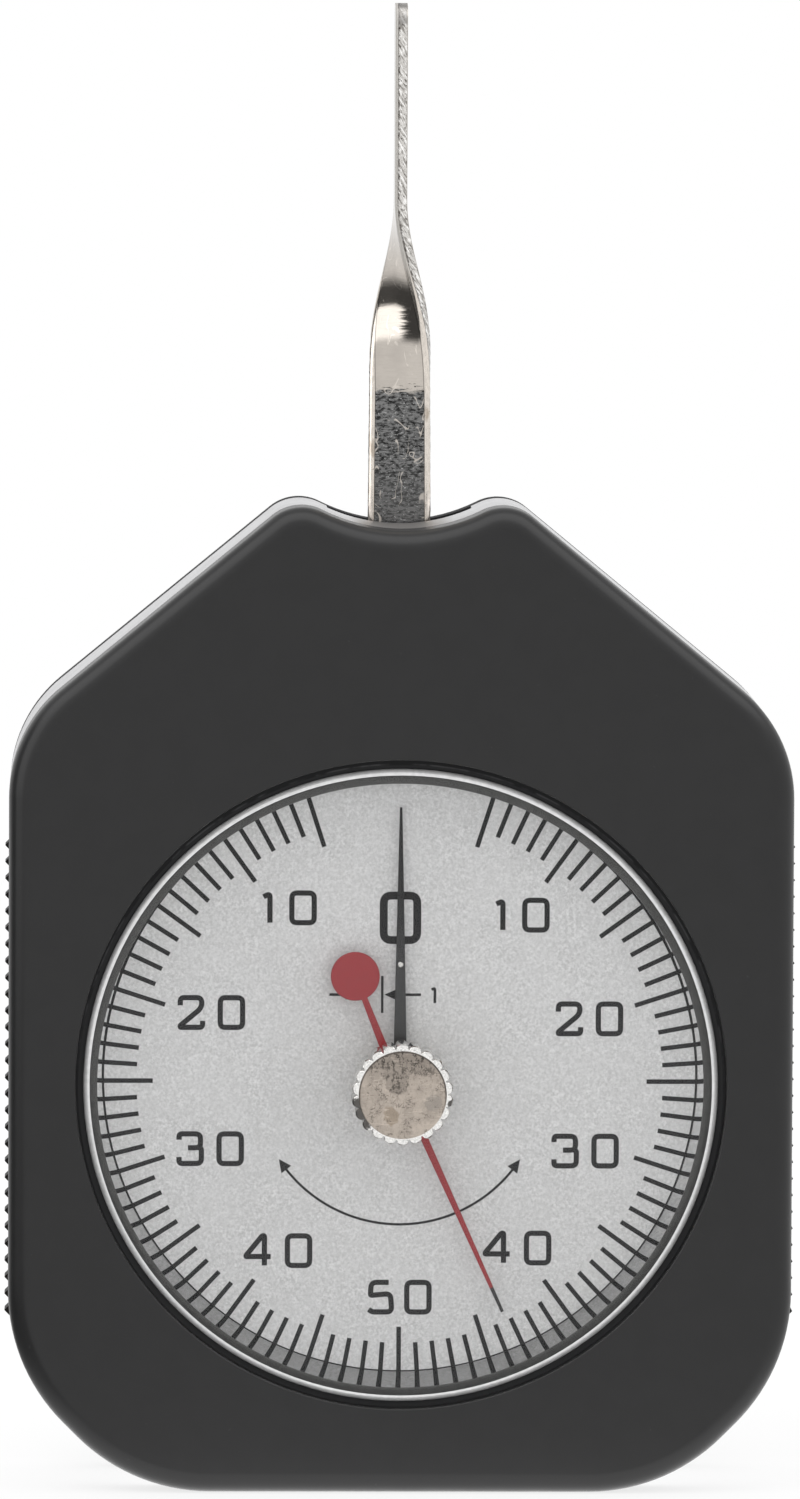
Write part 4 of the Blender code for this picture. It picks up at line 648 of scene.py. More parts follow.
def clear_acrylic(f, colours):
    """Clear window: it lets all light straight through, and shows a reflection by Fresnel."""
    wipe = f.grain(1.4 * MM, 3.0, 0.6, stretch=(0.3, 1.0, 1.0), warp=0.5)
    clear = f.node("BsdfTransparent", Color=(0.985, 0.985, 0.985)).outputs[0]
    gloss = f.node("BsdfGlossy", Roughness=f.between(wipe, 0.4, 0.7, 0.01, 0.05)).outputs[0]
    share = f.out(f.node("Fresnel", IOR=1.45), "Fac") * 0.4
    return f.close(f.mixed(share, clear, gloss))


def acrylic_edge(f, colours):
    """The crystal's bevel, which is milled and catches the light."""
    marks = f.grain(0.4 * MM, 3.0, 0.6)
    tone = f.mix(f.between(marks, 0.3, 0.7), colours.bevel[:], (0.76, 0.76, 0.76))
    return f.surface(tone, 0.24, (marks, 0.004 * MM, 0.4), Metallic=0.35)


def painted_edge_shade(f, colours):
    """A painted dark line, for the shade at the inner edge of the crystal's bevel; it also darkens the
    crystal's outer wall in the gap.
    """
    marks = f.grain(0.3 * MM)
    return f.surface(f.mix(marks, (0.02, 0.02, 0.02), (0.05, 0.05, 0.05)), 0.4)


def painted_groove_shade(f, colours):
    """The deep joint between crystal and shell: painted shade, darker further in, with a lighter line in
    patches of its upper half.
    """
    reach = f.reach()
    inner = f.below(reach, 25.86 * MM, 25.96 * MM)
    line = f.band(reach, 25.90 * MM, 25.96 * MM, 26.02 * MM, 26.10 * MM)
    rubbed = f.between(f.grain(2.4 * MM, 3.0, 0.6), 0.40, 0.60)
    rubbed = rubbed * f.between(f.along("Z", SPINDLE), -4.0 * MM, 12.0 * MM)
    # Painted shade: the crystal's faces in the joint get a near-black colour, darker further in.
    tone = f.mix(inner, lighter(colours.shell, 2.4), lighter(colours.shell, 4.6))
    tone = f.mix(line * rubbed, tone, lighter(colours.shell, 8.0))
    return f.surface(tone, 0.6, Specular_IOR_Level=0.08)


def clockwise(x, y):
    """The direction of a place, or of a ray, in degrees: 0 ahead of the dial, and 90 at the left."""
    return (x * -1.0).bearing(y * -1.0) * math.degrees(1.0)


def plain_floor(f, colours):
    """White to the camera and through glass, with the shadow round the object.

    Gloss sees it brighter close to the object, dark at the left near by, and bright at the left far off.
    """
    path = f.node("LightPath")
    seen = f.out(path, "Is Camera Ray").most(f.out(path, "Is Transmission Ray"))
    glossy = f.out(path, "Is Glossy Ray")
    x, y = f.along("X"), f.along("Y")
    away = (x * x + y * y) ** 0.5
    turned = clockwise(x, y)
    beside = (abs(x) * 0.5).most(abs(y))
    dark = f.band(turned, 34.0, 46.0, *STRIP_END) * f.between(away, 0.02, 0.07)
    far = f.band(turned, *SOFT_BOX) * f.between(away, 0.35, 0.75)
    lit = f.node("BsdfDiffuse", Color=colours.floor[:]).outputs[0]
    white = f.glow(1.0)
    gloss = f.mixed(f.between(beside, 13.0 * MM, 30.0 * MM), f.glow(1.0, 1.8), white)
    gloss = f.mixed(dark * 0.95, gloss, f.glow(0.03))
    gloss = f.mixed(far, gloss, f.glow(1.0, 1.95))
    plain = f.mixed(seen * f.between(away, 0.15, 0.6, 0.78, 1.0), lit, white)
    return f.close(f.mixed(glossy, plain, gloss))


# Shapes
def sweep(bm, vert, centre, turn, step):
    """Spins one vertex round a centre in the dial's plane and returns the last of the arc."""
    steps = max(2, math.ceil(abs(turn) / step))
    made = bmesh.ops.spin(bm, geom=[vert], cent=centre, axis=(0.0, 1.0, 0.0), angle=-turn, steps=steps)
    return made["geom_last"][0]


def outline(bm, corners, y, step=FINE):
    """A face at that depth with the corners (x, z, radius) of an anticlockwise polygon rounded."""
    old = set(bm.edges)
    ends = []
    for i, (x, z, radius) in enumerate(corners):
        here = Vector((x, y, z))
        before = (Vector((corners[i - 1][0], y, corners[i - 1][1])) - here).normalized()
        following = corners[(i + 1) % len(corners)]
        after = (Vector((following[0], y, following[1])) - here).normalized()
        if radius <= 0.0:
            only = bm.verts.new(here)
            ends.append((only, only))
            continue
        half = before.angle(after) / 2
        centre = here + (before + after).normalized() * (radius / math.sin(half))
        first = bm.verts.new(here + before * (radius / math.tan(half)))
        turn = math.copysign(math.pi - 2 * half, before.cross(after).y)
        ends.append((first, sweep(bm, first, centre, turn, step)))
    for (_, last), (first, _) in zip(ends, ends[1:] + ends[:1]):
        bm.edges.new((last, first))
    made = bmesh.ops.contextual_create(bm, geom=[e for e in bm.edges if e not in old])
    return made["faces"][0]


def deepen(bm, face, back):
    """Extrudes a face back to that depth."""
    front = face.verts[0].co.y
    grown = bmesh.ops.extrude_face_region(bm, geom=[face])["geom"]
    moved = [v for v in grown if isinstance(v, bmesh.types.BMVert)]
    bmesh.ops.translate(bm, verts=moved, vec=(0.0, back - front, 0.0))


def slab(corners, front, back, step=FINE):
    """A plate of that outline from front to back."""
    bm = bmesh.new()
    deepen(bm, outline(bm, corners, front, step), back)
    bmesh.ops.recalc_face_normals(bm, faces=bm.faces)
    return bm


def square(left, low, right, high):
    """The sharp corners of an upright rectangle, as (x, z, radius)."""
    return [(left, low, 0.0), (right, low, 0.0), (right, high, 0.0), (left, high, 0.0)]


def soften(bm, edges, width, segments=2):
    """Rounds edges."""
    bmesh.ops.bevel(
        bm,
        geom=edges,
        offset=width,
        segments=segments,
        profile=0.5,
        affect="EDGES",
        clamp_overlap=True,
        material=-1,
    )


def rim(bm, y):
    """The edges that lie in the plane at that depth and border a wall."""
    found = []
    for edge in bm.edges:
        if all(abs(v.co.y - y) < 0.001 * MM for v in edge.verts):
            if any(abs(face.normal.y) < 0.5 for face in edge.link_faces):
                found.append(edge)
    return found


def fresh(bm, known):
    """The vertices that a mesh has besides the known ones."""
    return [v for v in bm.verts if v not in known]


def lathe(profile, place=(0.0, SPINDLE), steps=ROUND, bm=None):
    """Spins a profile of (radius, y) points round an axis along Y, at that place (x, z).

    The profile starts and ends on the axis, or closes up.
    """
    bm = bm or bmesh.new()
    known = set(bm.verts)
    verts = [bm.verts.new((radius, y, 0.0)) for radius, y in profile]
    edges = [bm.edges.new(pair) for pair in zip(verts, verts[1:])]
    if profile[0][0] > 0.0:
        edges.append(bm.edges.new((verts[-1], verts[0])))
    bmesh.ops.spin(
        bm,
        geom=verts + edges,
        cent=(0.0, 0.0, 0.0),
        axis=(0.0, 1.0, 0.0),
        angle=math.tau,
        steps=steps,
        use_merge=True,
    )
    bmesh.ops.remove_doubles(bm, verts=fresh(bm, known), dist=1e-8)
    bmesh.ops.translate(bm, verts=fresh(bm, known), vec=(place[0], 0.0, place[1]))
    bmesh.ops.recalc_face_normals(bm, faces=bm.faces)
    return bm


def quarter(centre, radius, start, stop, segments=4):
    """Points of a profile's arc round (radius, y), from one angle to the other in degrees."""
    points = []
    for k in range(segments + 1):
        angle = math.radians(start + (stop - start) * k / segments)
        points.append((centre[0] + radius * math.cos(angle), centre[1] + radius * math.sin(angle)))
    return points


def meshed(name, bm):
    """A plain object from a bmesh, linked to the scene."""
    mesh = bpy.data.meshes.new(name)
    bm.to_mesh(mesh)
    bm.free()
    made = bpy.data.objects.new(name, mesh)
    bpy.context.scene.collection.objects.link(made)
    return made


def cut(body, *tools, operation="DIFFERENCE"):
    """Cuts a bmesh with others, or joins them, and returns the result."""
    base = meshed("cut_base", body)
    cutters = [meshed("cut_tool", tool) for tool in tools]
    for cutter in cutters:
        modifier = base.modifiers.new("Cut", "BOOLEAN")
        modifier.operation = operation
        modifier.object = cutter
        modifier.solver = "EXACT"
    view = bpy.context.evaluated_depsgraph_get()
    view.update()
    result = bmesh.new()
    result.from_mesh(base.evaluated_get(view).to_mesh())
    for used in [base] + cutters:
        mesh = used.data
        bpy.data.objects.remove(used)
        bpy.data.meshes.remove(mesh)
    return result


def settle(name, bm, body, finishes, replaced=None, even=True):
    """Makes a finished piece, which sits at the origin and rides on its body."""
    piece = meshed(name, bm)
    for make in finishes:
        piece.data.materials.append(finish_of(make))
    piece.data.shade_smooth()
    piece.data.set_sharp_from_angle(angle=math.radians(34))
    if even:
        modifier = piece.modifiers.new("Even shading", "WEIGHTED_NORMAL")
        modifier.keep_sharp = True
    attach(piece, body)
    if replaced:
        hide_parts(replaced)


def paint(bm, index, test):
    """Gives the faces that pass a test that material slot."""
    for face in bm.faces:
        if test(face):
            face.material_index = index


def turn_about(bm, verts, angle, height=SPINDLE):
    """Turns vertices clockwise, as seen from the front, about an axis at that height."""
    bmesh.ops.rotate(bm, verts=verts, cent=(0.0, 0.0, height), matrix=Matrix.Rotation(angle, 3, "Y"))


def on_dial(radius, degrees):
    """A place on the dial as (x, z), with the angle clockwise from the top."""
    angle = math.radians(degrees)
    return (radius * math.sin(angle), SPINDLE + radius * math.cos(angle))


def out_from(point):
    """How far a point is from the spindle's axis."""
    return math.hypot(point.x, point.z - SPINDLE)


def radii(face):
    """How far a face's corners are from the spindle's axis."""
    return [out_from(v.co) for v in face.verts]


def middle(name):
    """The middle of one of the frame's nodes, as (x, z)."""
    low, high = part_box(name)
    return ((low.x + high.x) / 2, (low.z + high.z) / 2)


# Case
def case_corners(sizes):
    """The corners of the case, anticlockwise from the base, as (x, z, radius)."""
    right = [
        (HALF_WIDTH - sizes.base_chamfer, 0.0, sizes.base_round),
        (HALF_WIDTH, sizes.base_chamfer, sizes.base_round),
        (HALF_WIDTH, sizes.shoulder_height, sizes.shoulder_round),
        (sizes.horn_span / 2, sizes.horn_height, sizes.horn_round),
    ]
    low = Vector((0.0, sizes.horn_height - sizes.notch_drop))
    top = Vector(right[3][:2])
    half_horn = (Vector(right[2][:2]) - top).angle(low - top) / 2
    half_notch = (top - low).angle(Vector((0.0, 1.0)))
    room = (top - low).length - sizes.horn_round / math.tan(half_horn)
    notch = (low.x, low.y, 0.975 * room * math.tan(half_notch))
    return right + [notch] + [(-x, z, radius) for x, z, radius in reversed(right)]


def moved_in(corners, distance):
    """The same polygon with every edge moved inwards."""
    moved = []
    for i, (x, z, radius) in enumerate(corners):
        here = Vector((x, z))
        before = (Vector(corners[i - 1][:2]) - here).normalized()
        after = (Vector(corners[(i + 1) % len(corners)][:2]) - here).normalized()
        half = before.angle(after) / 2
        inwards = 1 if after.cross(before) > 0 else -1
        here += (before + after).normalized() * (inwards * distance / math.sin(half))
        moved.append((here.x, here.y, max(radius - inwards * distance, distance / 4)))
    return moved


def screw_places():
    """The four case screws, from their nodes."""
    return [middle(f"case_screw_{number}") for number in range(1, 5)]


def posts(places, radius, front, back):
    """Round bars at several places as one mesh."""
    bm = bmesh.new()
    for place in places:
        lathe([(0.0, front), (radius, front), (radius, back), (0.0, back)], place, SMALL, bm)
    return bm


def inside(corners, wall, front, back):
    """The space within walls of that thickness, but for the bosses of the four screws."""
    bosses = posts(screw_places(), BOSS, front - PAST, back + PAST)
    return cut(slab(moved_in(corners, wall), front, back), bosses)


class GAUGE_OT_front_shell(Operator):
    """Build the matt front shell with its round opening"""

    bl_idname = "gauge.front_shell"
    bl_label = "Front shell"

    def execute(self, context):
        sizes = context.scene.gauge_sizes
        corners = case_corners(sizes)
        front, back = SHELL_LOW.y, SHELL_HIGH.y
        panel = front + PANEL
        shell = slab(corners, front, back)
        soften(shell, rim(shell, front), sizes.front_fillet, 8)
        soften(shell, rim(shell, back), SEAM_EDGE)
        hollow = inside(corners, SHELL_WALL, panel, back + PAST)
        edge = sizes.window_edge
        mouth = sizes.window_radius + edge
        profile = [(0.0, front - PAST), (mouth, front - PAST)]
        profile += quarter((mouth, front + edge), edge, 270, 180)
        profile += [(sizes.window_radius, panel + PAST), (0.0, panel + PAST)]
        window = lathe(profile, (0.0, SPINDLE + sizes.window_lift))
        pilots = posts(screw_places(), SHANK_HOLE, panel, back + PAST)
        shell = cut(shell, hollow, window, pilots)
        settle("shell_moulding", shell, "case", [matt_black], "front_shell")
        return {"FINISHED"}


class GAUGE_OT_middle_frame(Operator):
    """Build the blasted aluminium frame with its serrated grips and the slot for the stylus"""

    bl_idname = "gauge.middle_frame"
    bl_label = "Middle frame"

    def ends(self, sizes):
        """The lower and the upper end of the serrations."""
        centre = SPINDLE + sizes.grip_lift
        half = sizes.grip_pitch * sizes.grip_teeth / 2
        return centre - half, centre + half

    def comb(self, sizes, side, share, front, back):
        """One row of serrations, a little rounded at crest and root, at that share of their height."""
        sunk = HALF_WIDTH - GRIP_SUNK
        low = self.ends(sizes)[0]
        corners = [(sunk - PAST, low, 0.0), (sunk, low, 0.0)]
        for k in range(sizes.grip_teeth):
            crest = sunk + sizes.grip_depth * share
            corners.append((crest, low + sizes.grip_pitch * (k + 0.5), 0.05 * MM))
            corners.append((sunk, low + sizes.grip_pitch * (k + 1), 0.06 * MM))
        corners[-1] = (*corners[-1][:2], 0.0)
        corners.append((sunk - PAST, corners[-1][1], 0.0))
        bm = slab(corners, front, back, math.radians(30))
        if side < 0:
            bmesh.ops.scale(bm, verts=bm.verts, vec=(-1.0, 1.0, 1.0))
            bmesh.ops.recalc_face_normals(bm, faces=bm.faces)
        return bm

    def side_cut(self, sizes, side):
        """The strip that the serrations take the place of."""
        low, high = self.ends(sizes)
        left, right = sorted((side * (HALF_WIDTH - GRIP_SUNK), side * (HALF_WIDTH + 3 * PAST)))
        return slab(square(left, low, right, high), FRAME_LOW.y - PAST, FRAME_HIGH.y + PAST)

    def execute(self, context):
        sizes = context.scene.gauge_sizes
        corners = case_corners(sizes)
        front, back = FRAME_LOW.y, FRAME_HIGH.y
        body = slab(corners, front, back)
        for y in (front, back):
            soften(body, rim(body, y), FRAME_EDGE)
        body = cut(body, self.side_cut(sizes, 1), self.side_cut(sizes, -1))
        step = front + sizes.grip_front
        for side in (1, -1):
            proud = self.comb(sizes, side, 1.0, front, step)
            low = self.comb(sizes, side, 0.5, step - 0.1 * MM, back)
            body = cut(body, proud, low, operation="UNION")
        hollow = inside(corners, INNER_WALL, front - PAST, back + PAST)
        lugs = [middle(f"plate_screw_{number}") for number in range(1, 5)]
        lug_front = PLATE_HIGH.y + 0.1 * MM
        hollow = cut(hollow, posts(lugs, BOSS, lug_front, lug_front + 5 * MM))
        floor = sizes.horn_height - sizes.notch_drop
        opening = square(-SLOT_HALF, floor - 4 * MM, SLOT_HALF, floor + 20 * MM)
        slot = slab(opening, SLOT_FRONT, back + PAST)
        shanks = posts(screw_places(), SHANK_HOLE, front - PAST, back + PAST)
        body = cut(body, hollow, slot, shanks)
        low, high = self.ends(sizes)

        def on_grip(face):
            centre = face.calc_center_median()
            return abs(centre.x) > HALF_WIDTH - GRIP_SUNK - NEAR and low < centre.z < high

        paint(body, 1, on_grip)
        finishes = [blasted_aluminium, black_serrations]
        settle("frame_casting", body, "case", finishes, "middle_frame")
        return {"FINISHED"}


class GAUGE_OT_back_cover(Operator):
    """Build the back cover with its four sunk screws"""

    bl_idname = "gauge.back_cover"
    bl_label = "Back cover"

    def screw(self, place, turn):
        """One screw: a domed head with a cross recess, and its shank."""
        head = COVER_HIGH.y - HEAD_SUNK
        front = head - HEAD_HEIGHT
        end = SHELL_LOW.y + PANEL + 0.1 * MM
        profile = [(0.0, end), (SHANK - SHANK_POINT, end), (SHANK, end + SHANK_POINT)]
        profile += [(SHANK, front), (HEAD, front)]
        profile += quarter((HEAD - HEAD_ROUND, head - HEAD_ROUND), HEAD_ROUND, 0, 90)
        profile += [(0.0, head)]
        body = lathe(profile, place, SMALL)
        long, wide = RECESS_LENGTH / 2, RECESS_WIDTH / 2
        tools = []
        for angle in (turn, turn + math.pi / 2):
            bar = slab(square(-long, -wide, long, wide), head - RECESS_DEPTH, head + PAST)
            turn_about(bar, bar.verts, angle, 0.0)
            bmesh.ops.translate(bar, verts=bar.verts, vec=(place[0], 0.0, place[1]))
            tools.append(bar)
        return cut(body, *tools)

    def execute(self, context):
        sizes = context.scene.gauge_sizes
        corners = case_corners(sizes)
        front, back = COVER_LOW.y, COVER_HIGH.y
        cover = slab(corners, front, back)
        soften(cover, rim(cover, back), sizes.back_fillet, 6)
        soften(cover, rim(cover, front), SEAM_EDGE)
        hollow = inside(corners, INNER_WALL, front - PAST, back - COVER_PANEL)
        shanks = posts(screw_places(), SHANK_HOLE, front - PAST, back + PAST)
        lead = 0.2 * MM
        sunk = back - HEAD_HEIGHT - lead
        profile = [(0.0, sunk), (HEAD_ROOM, sunk), (HEAD_ROOM, back - lead), (HEAD_ROOM + lead, back)]
        profile += [(HEAD_ROOM + lead, back + PAST), (0.0, back + PAST)]
        heads = bmesh.new()
        for place in screw_places():
            lathe(profile, place, SMALL, heads)
        cover = cut(cover, hollow, shanks, heads)
        settle("cover_moulding", cover, "case", [dull_black], "back_cover")
        for number, place in enumerate(screw_places(), 1):
            screw = self.screw(place, 0.4 * number)
            replaced = f"case_screw_{number}"
            settle(f"cover_screw_{number}", screw, "case", [plain_nickel], replaced)
        return {"FINISHED"}


# Window and dial
class GAUGE_OT_crystal(Operator):
    """Build the clear crystal with its milled bevel, and the dark ring under it"""

    bl_idname = "gauge.crystal"
    bl_label = "Crystal and ring"

    def window(self, sizes):
        """The crystal, whose raised part is a little higher than its flange."""
        front, back = CRYSTAL_LOW.y, CRYSTAL_HIGH.y
        radius = sizes.window_radius - sizes.crystal_gap
        flange = back - 0.6 * MM
        bore, bevel = 1.78 * MM, 0.5 * MM
        line = radius - bevel - 0.03 * MM
        profile = [(bore, front), (line - 0.06 * MM, front), (line + 0.02 * MM, front + 0.005 * MM)]
        profile += quarter((radius - bevel, front + bevel + 0.02 * MM), bevel, 276, 350, 8)
        profile += [(radius, front + bevel + 0.06 * MM), (radius, flange), (FLANGE_RADIUS, flange)]
        profile += [(FLANGE_RADIUS, back), (bore, back)]
        made = lathe(profile)
        raised = [v for v in made.verts if v.co.y < flange + NEAR]
        raised = [v for v in raised if 2 * MM < out_from(v.co) < radius + NEAR]

        def on_bevel(face):
            return min(radii(face)) > line + NEAR and face.calc_center_median().y < flange - NEAR

        # Painted shade: a thin ring inside the bevel and the crystal's outer wall get a dark colour.
        def on_painted_edge_shade(face):
            y = face.calc_center_median().y
            near = line - 0.07 * MM < min(radii(face)) and max(radii(face)) < line + 0.03 * MM
            wall = min(radii(face)) > radius - 0.02 * MM and y > front + bevel
            return (near and y < front + 0.1 * MM) or wall

        def in_groove(face):
            return min(radii(face)) > radius - NEAR and face.calc_center_median().y > front + 0.6 * MM

        for index, test in enumerate((on_bevel, on_painted_edge_shade, in_groove), 1):
            paint(made, index, test)
        bmesh.ops.translate(made, verts=raised, vec=(0.0, 0.0, sizes.crystal_lift))
        return made

    def ring(self, sizes):
        """The dark ring, whose bore is wider in front and leans down to the dial."""
        front, back = RING_LOW.y, RING_HIGH.y
        lip, bore, edge = sizes.lip_radius, sizes.bore_radius, 0.08 * MM
        profile = [(bore, back), (lip, front + 2 * edge)]
        profile += quarter((lip + edge, front + edge), edge, 180, 270)
        profile += [(RING_HIGH.x, front), (RING_HIGH.x, back)]
        made = lathe(profile)

        def on_bore(face):
            return bore + NEAR < max(radii(face)) < lip + NEAR

        paint(made, 1, on_bore)
        inner = [v for v in made.verts if out_from(v.co) < bore + NEAR]
        bmesh.ops.translate(made, verts=inner, vec=(0.0, 0.0, sizes.bore_lift))
        return made

    def execute(self, context):
        sizes = context.scene.gauge_sizes
        finishes = [clear_acrylic, acrylic_edge, painted_edge_shade, painted_groove_shade]
        settle("crystal_window", self.window(sizes), "case", finishes, "crystal")
        finishes = [dark_anodised, polished_bore]
        settle("crystal_ring", self.ring(sizes), "case", finishes, "spacer_ring")
        return {"FINISHED"}


class GAUGE_OT_dial(Operator):
    """Build the silver dial with its printed ticks, numbers and arrows"""

    bl_idname = "gauge.dial"
    bl_label = "Dial"

    # The strokes of each digit, in shares of its width and height
    DIGITS = {
        "0": [[(0, 0.5), (0, 1), (1, 1), (1, 0), (0, 0), (0, 0.5)]],
        "1": [[(0.52, 0.87), (0.81, 0.98), (0.81, 0)]],
        "2": [[(0, 0.74), (0, 1), (0.96, 1), (0.96, 0.66), (0, 0.06), (0, 0), (1, 0), (1, 0.22)]],
        "3": [
            [(0, 0.80), (0, 1), (0.96, 1), (0.96, 0.53), (0.40, 0.53)],
            [(0.90, 0.53), (1, 0.50), (1, 0), (0, 0), (0, 0.22)],
        ],
        "4": [[(0.76, 0), (0.76, 1), (0.66, 1), (-0.06, 0.34), (-0.06, 0.30), (1.04, 0.30)]],
        "5": [
            [(0.98, 1), (0.20, 1), (0.16, 0.60), (0.20, 0.56)]
            + [(1.06, 0.62), (1.12, 0), (0.24, 0), (0.08, 0.09)]
        ],
    }
    # The middle of each number on the left and on the right, in steps of UNIT from the spindle
    UNIT = 0.0803 * MM
    NUMBERS = {
        "10": ((-117.8, 174.2), (115.8, 167.4)),
        "20": ((-189.2, 68.7), (190.2, 63.1)),
        "30": ((-190.0, -68.5), (186.5, -70.2)),
        "40": ((-121.0, -171.2), (119.2, -168.2)),
        "50": ((-0.9, -218.0),),
    }

    def eased(self, points, radius):
        """A path whose inner corners are rounded, as points for a curve."""
        path = [Vector(points[0])]
        for before, here, after in zip(points, points[1:], points[2:]):
            here = Vector(here)
            back, on = Vector(before) - here, Vector(after) - here
            reach = min(radius, back.length / 2, on.length / 2)
            start, end = here + back.normalized() * reach, here + on.normalized() * reach
            for k in range(6):
                t = k / 5
                path.append(start.lerp(here, t).lerp(here.lerp(end, t), t))
        return path + [Vector(points[-1])]

    def stroke(self, bm, points, width, closed=False):
        """Adds a flat ribbon of that width along a path on the dial."""
        curve = bpy.data.curves.new("stroke", "CURVE")
        curve.dimensions = "3D"
        curve.bevel_depth = width / 2
        curve.bevel_resolution = 2
        curve.use_fill_caps = True
        spline = curve.splines.new("POLY")
        spline.points.add(len(points) - 1)
        for point, (x, z) in zip(spline.points, points):
            point.co = (x, 0.0, z, 1.0)
        spline.use_cyclic_u = closed
        made = bpy.data.objects.new("stroke", curve)
        bpy.context.scene.collection.objects.link(made)
        view = bpy.context.evaluated_depsgraph_get()
        view.update()
        mesh = bpy.data.meshes.new_from_object(made.evaluated_get(view))
        known = set(bm.verts)
        bm.from_mesh(mesh)
        ribbon = fresh(bm, known)
        thin = bpy.context.scene.gauge_sizes.ink_height * 2 / width
        bmesh.ops.scale(bm, verts=ribbon, vec=(1.0, thin, 1.0))
        bmesh.ops.translate(bm, verts=ribbon, vec=(0.0, DIAL_LOW.y, 0.0))
        bpy.data.objects.remove(made)
        bpy.data.curves.remove(curve)
        bpy.data.meshes.remove(mesh)

    def number(self, bm, text, place, sizes, share=1.0):
        """A number with its middle at that place."""
        width, height = sizes.digit_width * share, sizes.digit_height * share
        pitch = width + sizes.digit_gap * share
        left = place[0] - (pitch * (len(text) - 1) + width) / 2
        for k, letter in enumerate(text):
            for path in self.DIGITS[letter]:
                points = [(left + pitch * k + x * width, place[1] + (z - 0.5) * height) for x, z in path]
                points = self.eased(points, sizes.digit_round * share)
                self.stroke(bm, points, sizes.digit_stroke * share, letter == "0")

    def block(self, bm, corners):
        """A flat printed shape with the corners (x, z, radius)."""
        face = outline(bm, corners, DIAL_LOW.y + NEAR)
        deepen(bm, face, DIAL_LOW.y - bpy.context.scene.gauge_sizes.ink_height)

    def ticks(self, bm, sizes):
        """A tick for each unit from 5 to 50 on both sides. The nought at the top has the rest's place."""
        end = SPINDLE + (sizes.lip_radius + 0.2 * MM)
        half = sizes.tick_width / 2
        for unit in range(-45, 46):
            start = SPINDLE + (sizes.tick_start_short if unit % 5 else sizes.tick_start_long)
            known = set(bm.verts)
            self.block(bm, square(-half, start, half, end))
            turn_about(bm, fresh(bm, known), math.pi + math.tau * unit / 100)

    def arrows(self, bm, sizes):
        """The mark of one division: a bar between two arrows, with its number."""
        height = SPINDLE + 6.99 * MM
        bar = -1.44 * MM
        thick = sizes.fine_stroke * 1.1
        self.stroke(bm, [(bar, height - 1.48 * MM), (bar, height + 1.52 * MM)], sizes.fine_stroke)
        self.stroke(bm, [(bar + 0.9 * MM, height), (bar + 3.12 * MM, height)], thick)
        self.stroke(bm, [(bar - 4.25 * MM, height), (bar - 2.9 * MM, height)], thick)
        half = 0.42 * MM
        for side, gap in ((1, 0.16 * MM), (-1, 2.0 * MM)):
            tip, tail = bar + side * gap, bar + side * (gap + 0.96 * MM)
            places = [(tip, height), (tail, height - side * half), (tail, height + side * half)]
            self.block(bm, [(x, z, 0.0) for x, z in places])
        self.number(bm, "1", (bar + 3.95 * MM, height - 0.05 * MM), sizes, 0.52)

    def sweep_mark(self, bm, sizes):
        """A fine double-headed arc below the middle."""
        radius = 11.6 * MM
        self.stroke(bm, [on_dial(radius, angle) for angle in range(128, 233, 2)], sizes.fine_stroke)
        for angle, side in ((126, -1), (234, 1)):
            places = [on_dial(radius, angle + side * 3)]
            places += [on_dial(radius + side * out * MM, angle - side * 2.2) for out in (-0.5, 0.5)]
            self.block(bm, [(x, z, 0.0) for x, z in places])

    def plate(self):
        """The dial itself, with a small chamfer and a hole for the spindle."""
        hole, edge = 2.4 * MM, 0.1 * MM
        profile = [(hole, DIAL_LOW.y), (DIAL_RADIUS - edge, DIAL_LOW.y), (DIAL_RADIUS, DIAL_LOW.y + edge)]
        profile += [(DIAL_RADIUS, DIAL_HIGH.y), (hole, DIAL_HIGH.y)]
        return lathe(profile)

    def execute(self, context):
        sizes = context.scene.gauge_sizes
        settle("dial_face", self.plate(), "case", [silver_dial], "dial_plate")
        ink = bmesh.new()
        self.ticks(ink, sizes)
        for text, places in self.NUMBERS.items():
            for x, z in places:
                self.number(ink, text, (x * self.UNIT, SPINDLE + z * self.UNIT), sizes)
        self.number(ink, "0", (0.0, SPINDLE + 13.2 * MM), sizes, 1.5)
        self.arrows(ink, sizes)
        self.sweep_mark(ink, sizes)
        bmesh.ops.translate(ink, verts=ink.verts, vec=(0.0, 0.0, sizes.print_lift))
        # Painted shadow: a thin dark circle printed where the ring's bore meets the dial, for the shade of
        # the gap there.
        circle = [on_dial(sizes.bore_radius - 0.06 * MM, angle) for angle in range(0, 360, 2)]
        self.stroke(ink, [(x, z + sizes.bore_lift) for x, z in circle], 0.12 * MM, True)
        bmesh.ops.recalc_face_normals(ink, faces=ink.faces)
        settle("dial_print", ink, "case", [dial_ink], even=False)
        return {"FINISHED"}


